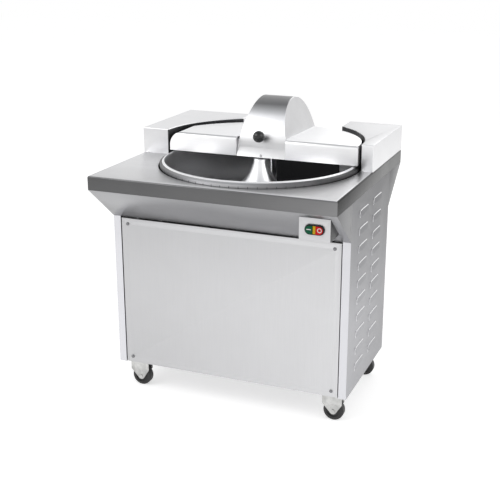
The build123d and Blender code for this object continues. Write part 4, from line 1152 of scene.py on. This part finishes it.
@dataclass
class Controls(SubAssembly):
    """The control box with its two push buttons, their signs and the lamp between them."""

    box_edge: float = 0.0008
    lens_edge: float = 0.0008
    bezel_edge: float = 0.0004
    button_edge: float = 0.0003
    bar_offset: float = -0.0145
    ring_offset: float = 0.0162
    sign_rise: float = 0.0013
    bar_length: float = 0.0125
    bar_width: float = 0.0026
    ring_outer: float = 0.0066
    ring_width: float = 0.0022
    ring_steps: int = 64
    inlay: float = 0.0003

    def build(self) -> list[str]:
        """Dress the controls and set the signs into the buttons.

        Returns:
            Names of the pieces.
        """
        self.refine("control_box", CONTROL_STEEL, "stainless_sheet", self.box_edge)
        self.refine("button_bezel", BLACK_PLASTIC, "black_plastic", self.bezel_edge)
        self.refine("lamp_lens", AMBER_LENS, "lamp_amber", self.lens_edge)
        self.refine("start_button", GREEN_PLASTIC, "green_plastic", self.button_edge, "start_button")
        self.refine("stop_button", RED_PLASTIC, "red_plastic", self.button_edge, "stop_button")
        self.paint(BLACK_PLASTIC, "contact_block")
        self._start_bar(self._sign_place(self.bar_offset))
        self._stop_ring(self._sign_place(self.ring_offset))
        return self.made

    def _sign_place(self, offset: float) -> Point:
        """Find the middle of a sign on the buttons' front.

        Args:
            offset: Its distance to the right of the bezel's middle.

        Returns:
            Its place.
        """
        low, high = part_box("button_bezel")
        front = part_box("start_button")[0].y
        return ((low.x + high.x) / 2 + offset, front, (low.z + high.z) / 2 + self.sign_rise)

    def _start_bar(self, place: Point) -> None:
        """Set the bar sign into the start button.

        Args:
            place: Its middle.
        """
        bar = started(
            "start_sign", bpy.ops.mesh.primitive_cube_add, size=1.0, location=place,
            scale=(self.bar_length, 2 * self.inlay, self.bar_width),
        )
        soften(bar, self.inlay * 0.8, 3)
        self.fit(bar, "start_button", WHITE_INLAY, "zinc_steel")

    def _stop_ring(self, place: Point) -> None:
        """Set the ring sign into the stop button.

        Args:
            place: Its middle.
        """
        outer, inner, rise = self.ring_outer, self.ring_outer - self.ring_width, self.inlay
        shoulder = 0.6 * rise
        profile = (
            (inner, -rise), (inner, shoulder), (inner + rise, rise), (outer - rise, rise), (outer, shoulder),
            (outer, -rise), (inner, -rise),
        )
        ring = turned("stop_sign", profile, place, FRONT, self.ring_steps)
        soften(ring)
        self.fit(ring, "stop_button", WHITE_INLAY, "zinc_steel")


@dataclass
class Casters(SubAssembly):
    """The four swivel casters."""

    fork_edge: float = 0.0005

    def build(self) -> list[str]:
        """Dress the casters.

        Returns:
            Names of the pieces.
        """
        for corner in CORNERS:
            self.refine(corner + "_caster_fork", ZINC, "zinc_steel", self.fork_edge, corner + "_fork")
            self.refine(corner + "_caster_wheel", WHEEL_RUBBER, "wheel_rubber", 0.0, corner + "_wheel")
        self.paint(ZINC, "caster_plates", "caster_bolts")
        return self.made


# ------------------------------------------------------------------ studio


@dataclass(frozen=True)
class Lamp:
    """A soft square lamp: where it hangs, what it points at, its side in metres and its power in watts."""

    name: str
    place: Point
    target: Point
    size: float
    power: float

    def hang(self) -> None:
        """Hang the lamp and turn it to its target."""
        data = bpy.data.lights.new(self.name, "AREA")
        data.size = self.size
        data.energy = self.power
        lamp = bpy.data.objects.new(self.name, data)
        bpy.context.scene.collection.objects.link(lamp)
        lamp.location = self.place
        lamp.rotation_euler = (Vector(self.target) - Vector(self.place)).to_track_quat("-Z", "Y").to_euler()


@dataclass
class Studio:
    """Floor, lamps, world and camera."""

    camera_place: Point = (1.0847, -2.7020, 1.4011)
    camera_turn: Point = (radians(71.84), 0.0, radians(22.07))
    lens: float = 69.39
    sensor: float = 36.0
    floor_size: float = 24.0
    floor_colour: RGB = (0.8, 0.8, 0.8)
    floor_glow: float = 0.56
    soft_fill: float = 0.55
    overhead: RGB = (0.55, 0.56, 0.58)
    white_up_to: float = 0.42
    lamps: tuple[Lamp, ...] = (
        Lamp("key_lamp", (-2.4, -2.2, 3.2), (0.0, 0.0, 0.5), 2.4, 50.0),
        Lamp("side_lamp", (2.8, -0.4, 2.4), (0.2, 0.0, 0.5), 2.0, 18.0),
        Lamp("rear_lamp", (0.4, 2.8, 2.8), (0.0, 0.0, 0.6), 2.0, 14.0),
    )

    def build(self) -> list[str]:
        """Set the studio up.

        Returns:
            Names of what stands in it.
        """
        self._lay_floor()
        self._make_world()
        for lamp in self.lamps:
            lamp.hang()
        self._place_camera()
        bpy.context.scene.view_settings.view_transform = "Standard"
        return ["studio_floor", *(lamp.name for lamp in self.lamps), "view_camera"]

    def _place_camera(self) -> None:
        """Stand the camera before the cutter's right front corner."""
        camera = bpy.data.cameras.new("view_camera")
        camera.lens = self.lens
        camera.sensor_width = self.sensor
        holder = bpy.data.objects.new("view_camera", camera)
        bpy.context.scene.collection.objects.link(holder)
        holder.location = self.camera_place
        holder.rotation_euler = self.camera_turn
        bpy.context.scene.camera = holder

    def _lay_floor(self) -> None:
        """Lay the pale floor, which glows a little for the camera and keeps the shadow."""
        floor = started(
            "studio_floor", bpy.ops.mesh.primitive_plane_add, size=self.floor_size, location=ORIGIN,
        )
        pale = bpy.data.materials.new("pale_floor")
        pale.use_nodes = True
        bench = Bench(pale.node_tree)
        bench.tree.nodes.clear()
        matt = bench.add("ShaderNodeBsdfDiffuse", Color=(*self.floor_colour, 1.0))
        strength = bench.math("MULTIPLY", bench.seen(), self.floor_glow)
        glow = bench.add("ShaderNodeEmission", Color=WHITE, Strength=strength)
        both = bench.add("ShaderNodeAddShader")
        bench.feed(both.inputs[0], matt.outputs[0])
        bench.feed(both.inputs[1], glow.outputs[0])
        bench.add("ShaderNodeOutputMaterial", Surface=both.outputs[0])
        floor.data.materials.append(pale)

    def _make_world(self) -> None:
        """Make the white surround, darker overhead, with a plain soft fill for matt faces."""
        world = bpy.data.worlds.new("soft_surround")
        bpy.context.scene.world = world
        world.use_nodes = True
        bench = Bench(world.node_tree)
        bench.tree.nodes.clear()
        way = bench.add("ShaderNodeTexCoord").outputs["Generated"]
        ramp = bench.add("ShaderNodeValToRGB")
        sides, top = ramp.color_ramp.elements
        sides.position, sides.color = self.white_up_to, WHITE
        top.position, top.color = 1.0, (*self.overhead, 1.0)
        bench.feed(ramp.inputs[0], bench.add("ShaderNodeSeparateXYZ", Vector=way).outputs["Z"])
        fill = bench.add("ShaderNodeBackground", Color=WHITE, Strength=self.soft_fill)
        shown = bench.add("ShaderNodeBackground", Color=ramp.outputs[0], Strength=1.0)
        both = bench.add("ShaderNodeMixShader")
        for number, value in enumerate((bench.seen(), fill.outputs[0], shown.outputs[0])):
            bench.feed(both.inputs[number], value)
        bench.add("ShaderNodeOutputWorld", Surface=both.outputs[0])


# ------------------------------------------------------------------ order of work


def main() -> None:
    """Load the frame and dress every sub-assembly in order."""
    FRAME.update(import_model())
    for make in (brushed_grain_group, round_grain_group, soft_cloud_group, fine_fleck_group, painted_light_zone_group):
        log.info("node group %s", make().name)
    for part in (Cabinet(), Housings(), Bowl(), KnifeSet(), Lid(), Controls(), Casters(), Studio()):
        for name in part.build():
            log.info("%s: %s", type(part).__name__, name)
    bpy.context.view_layer.update()


if __name__ == "__main__":
    main()
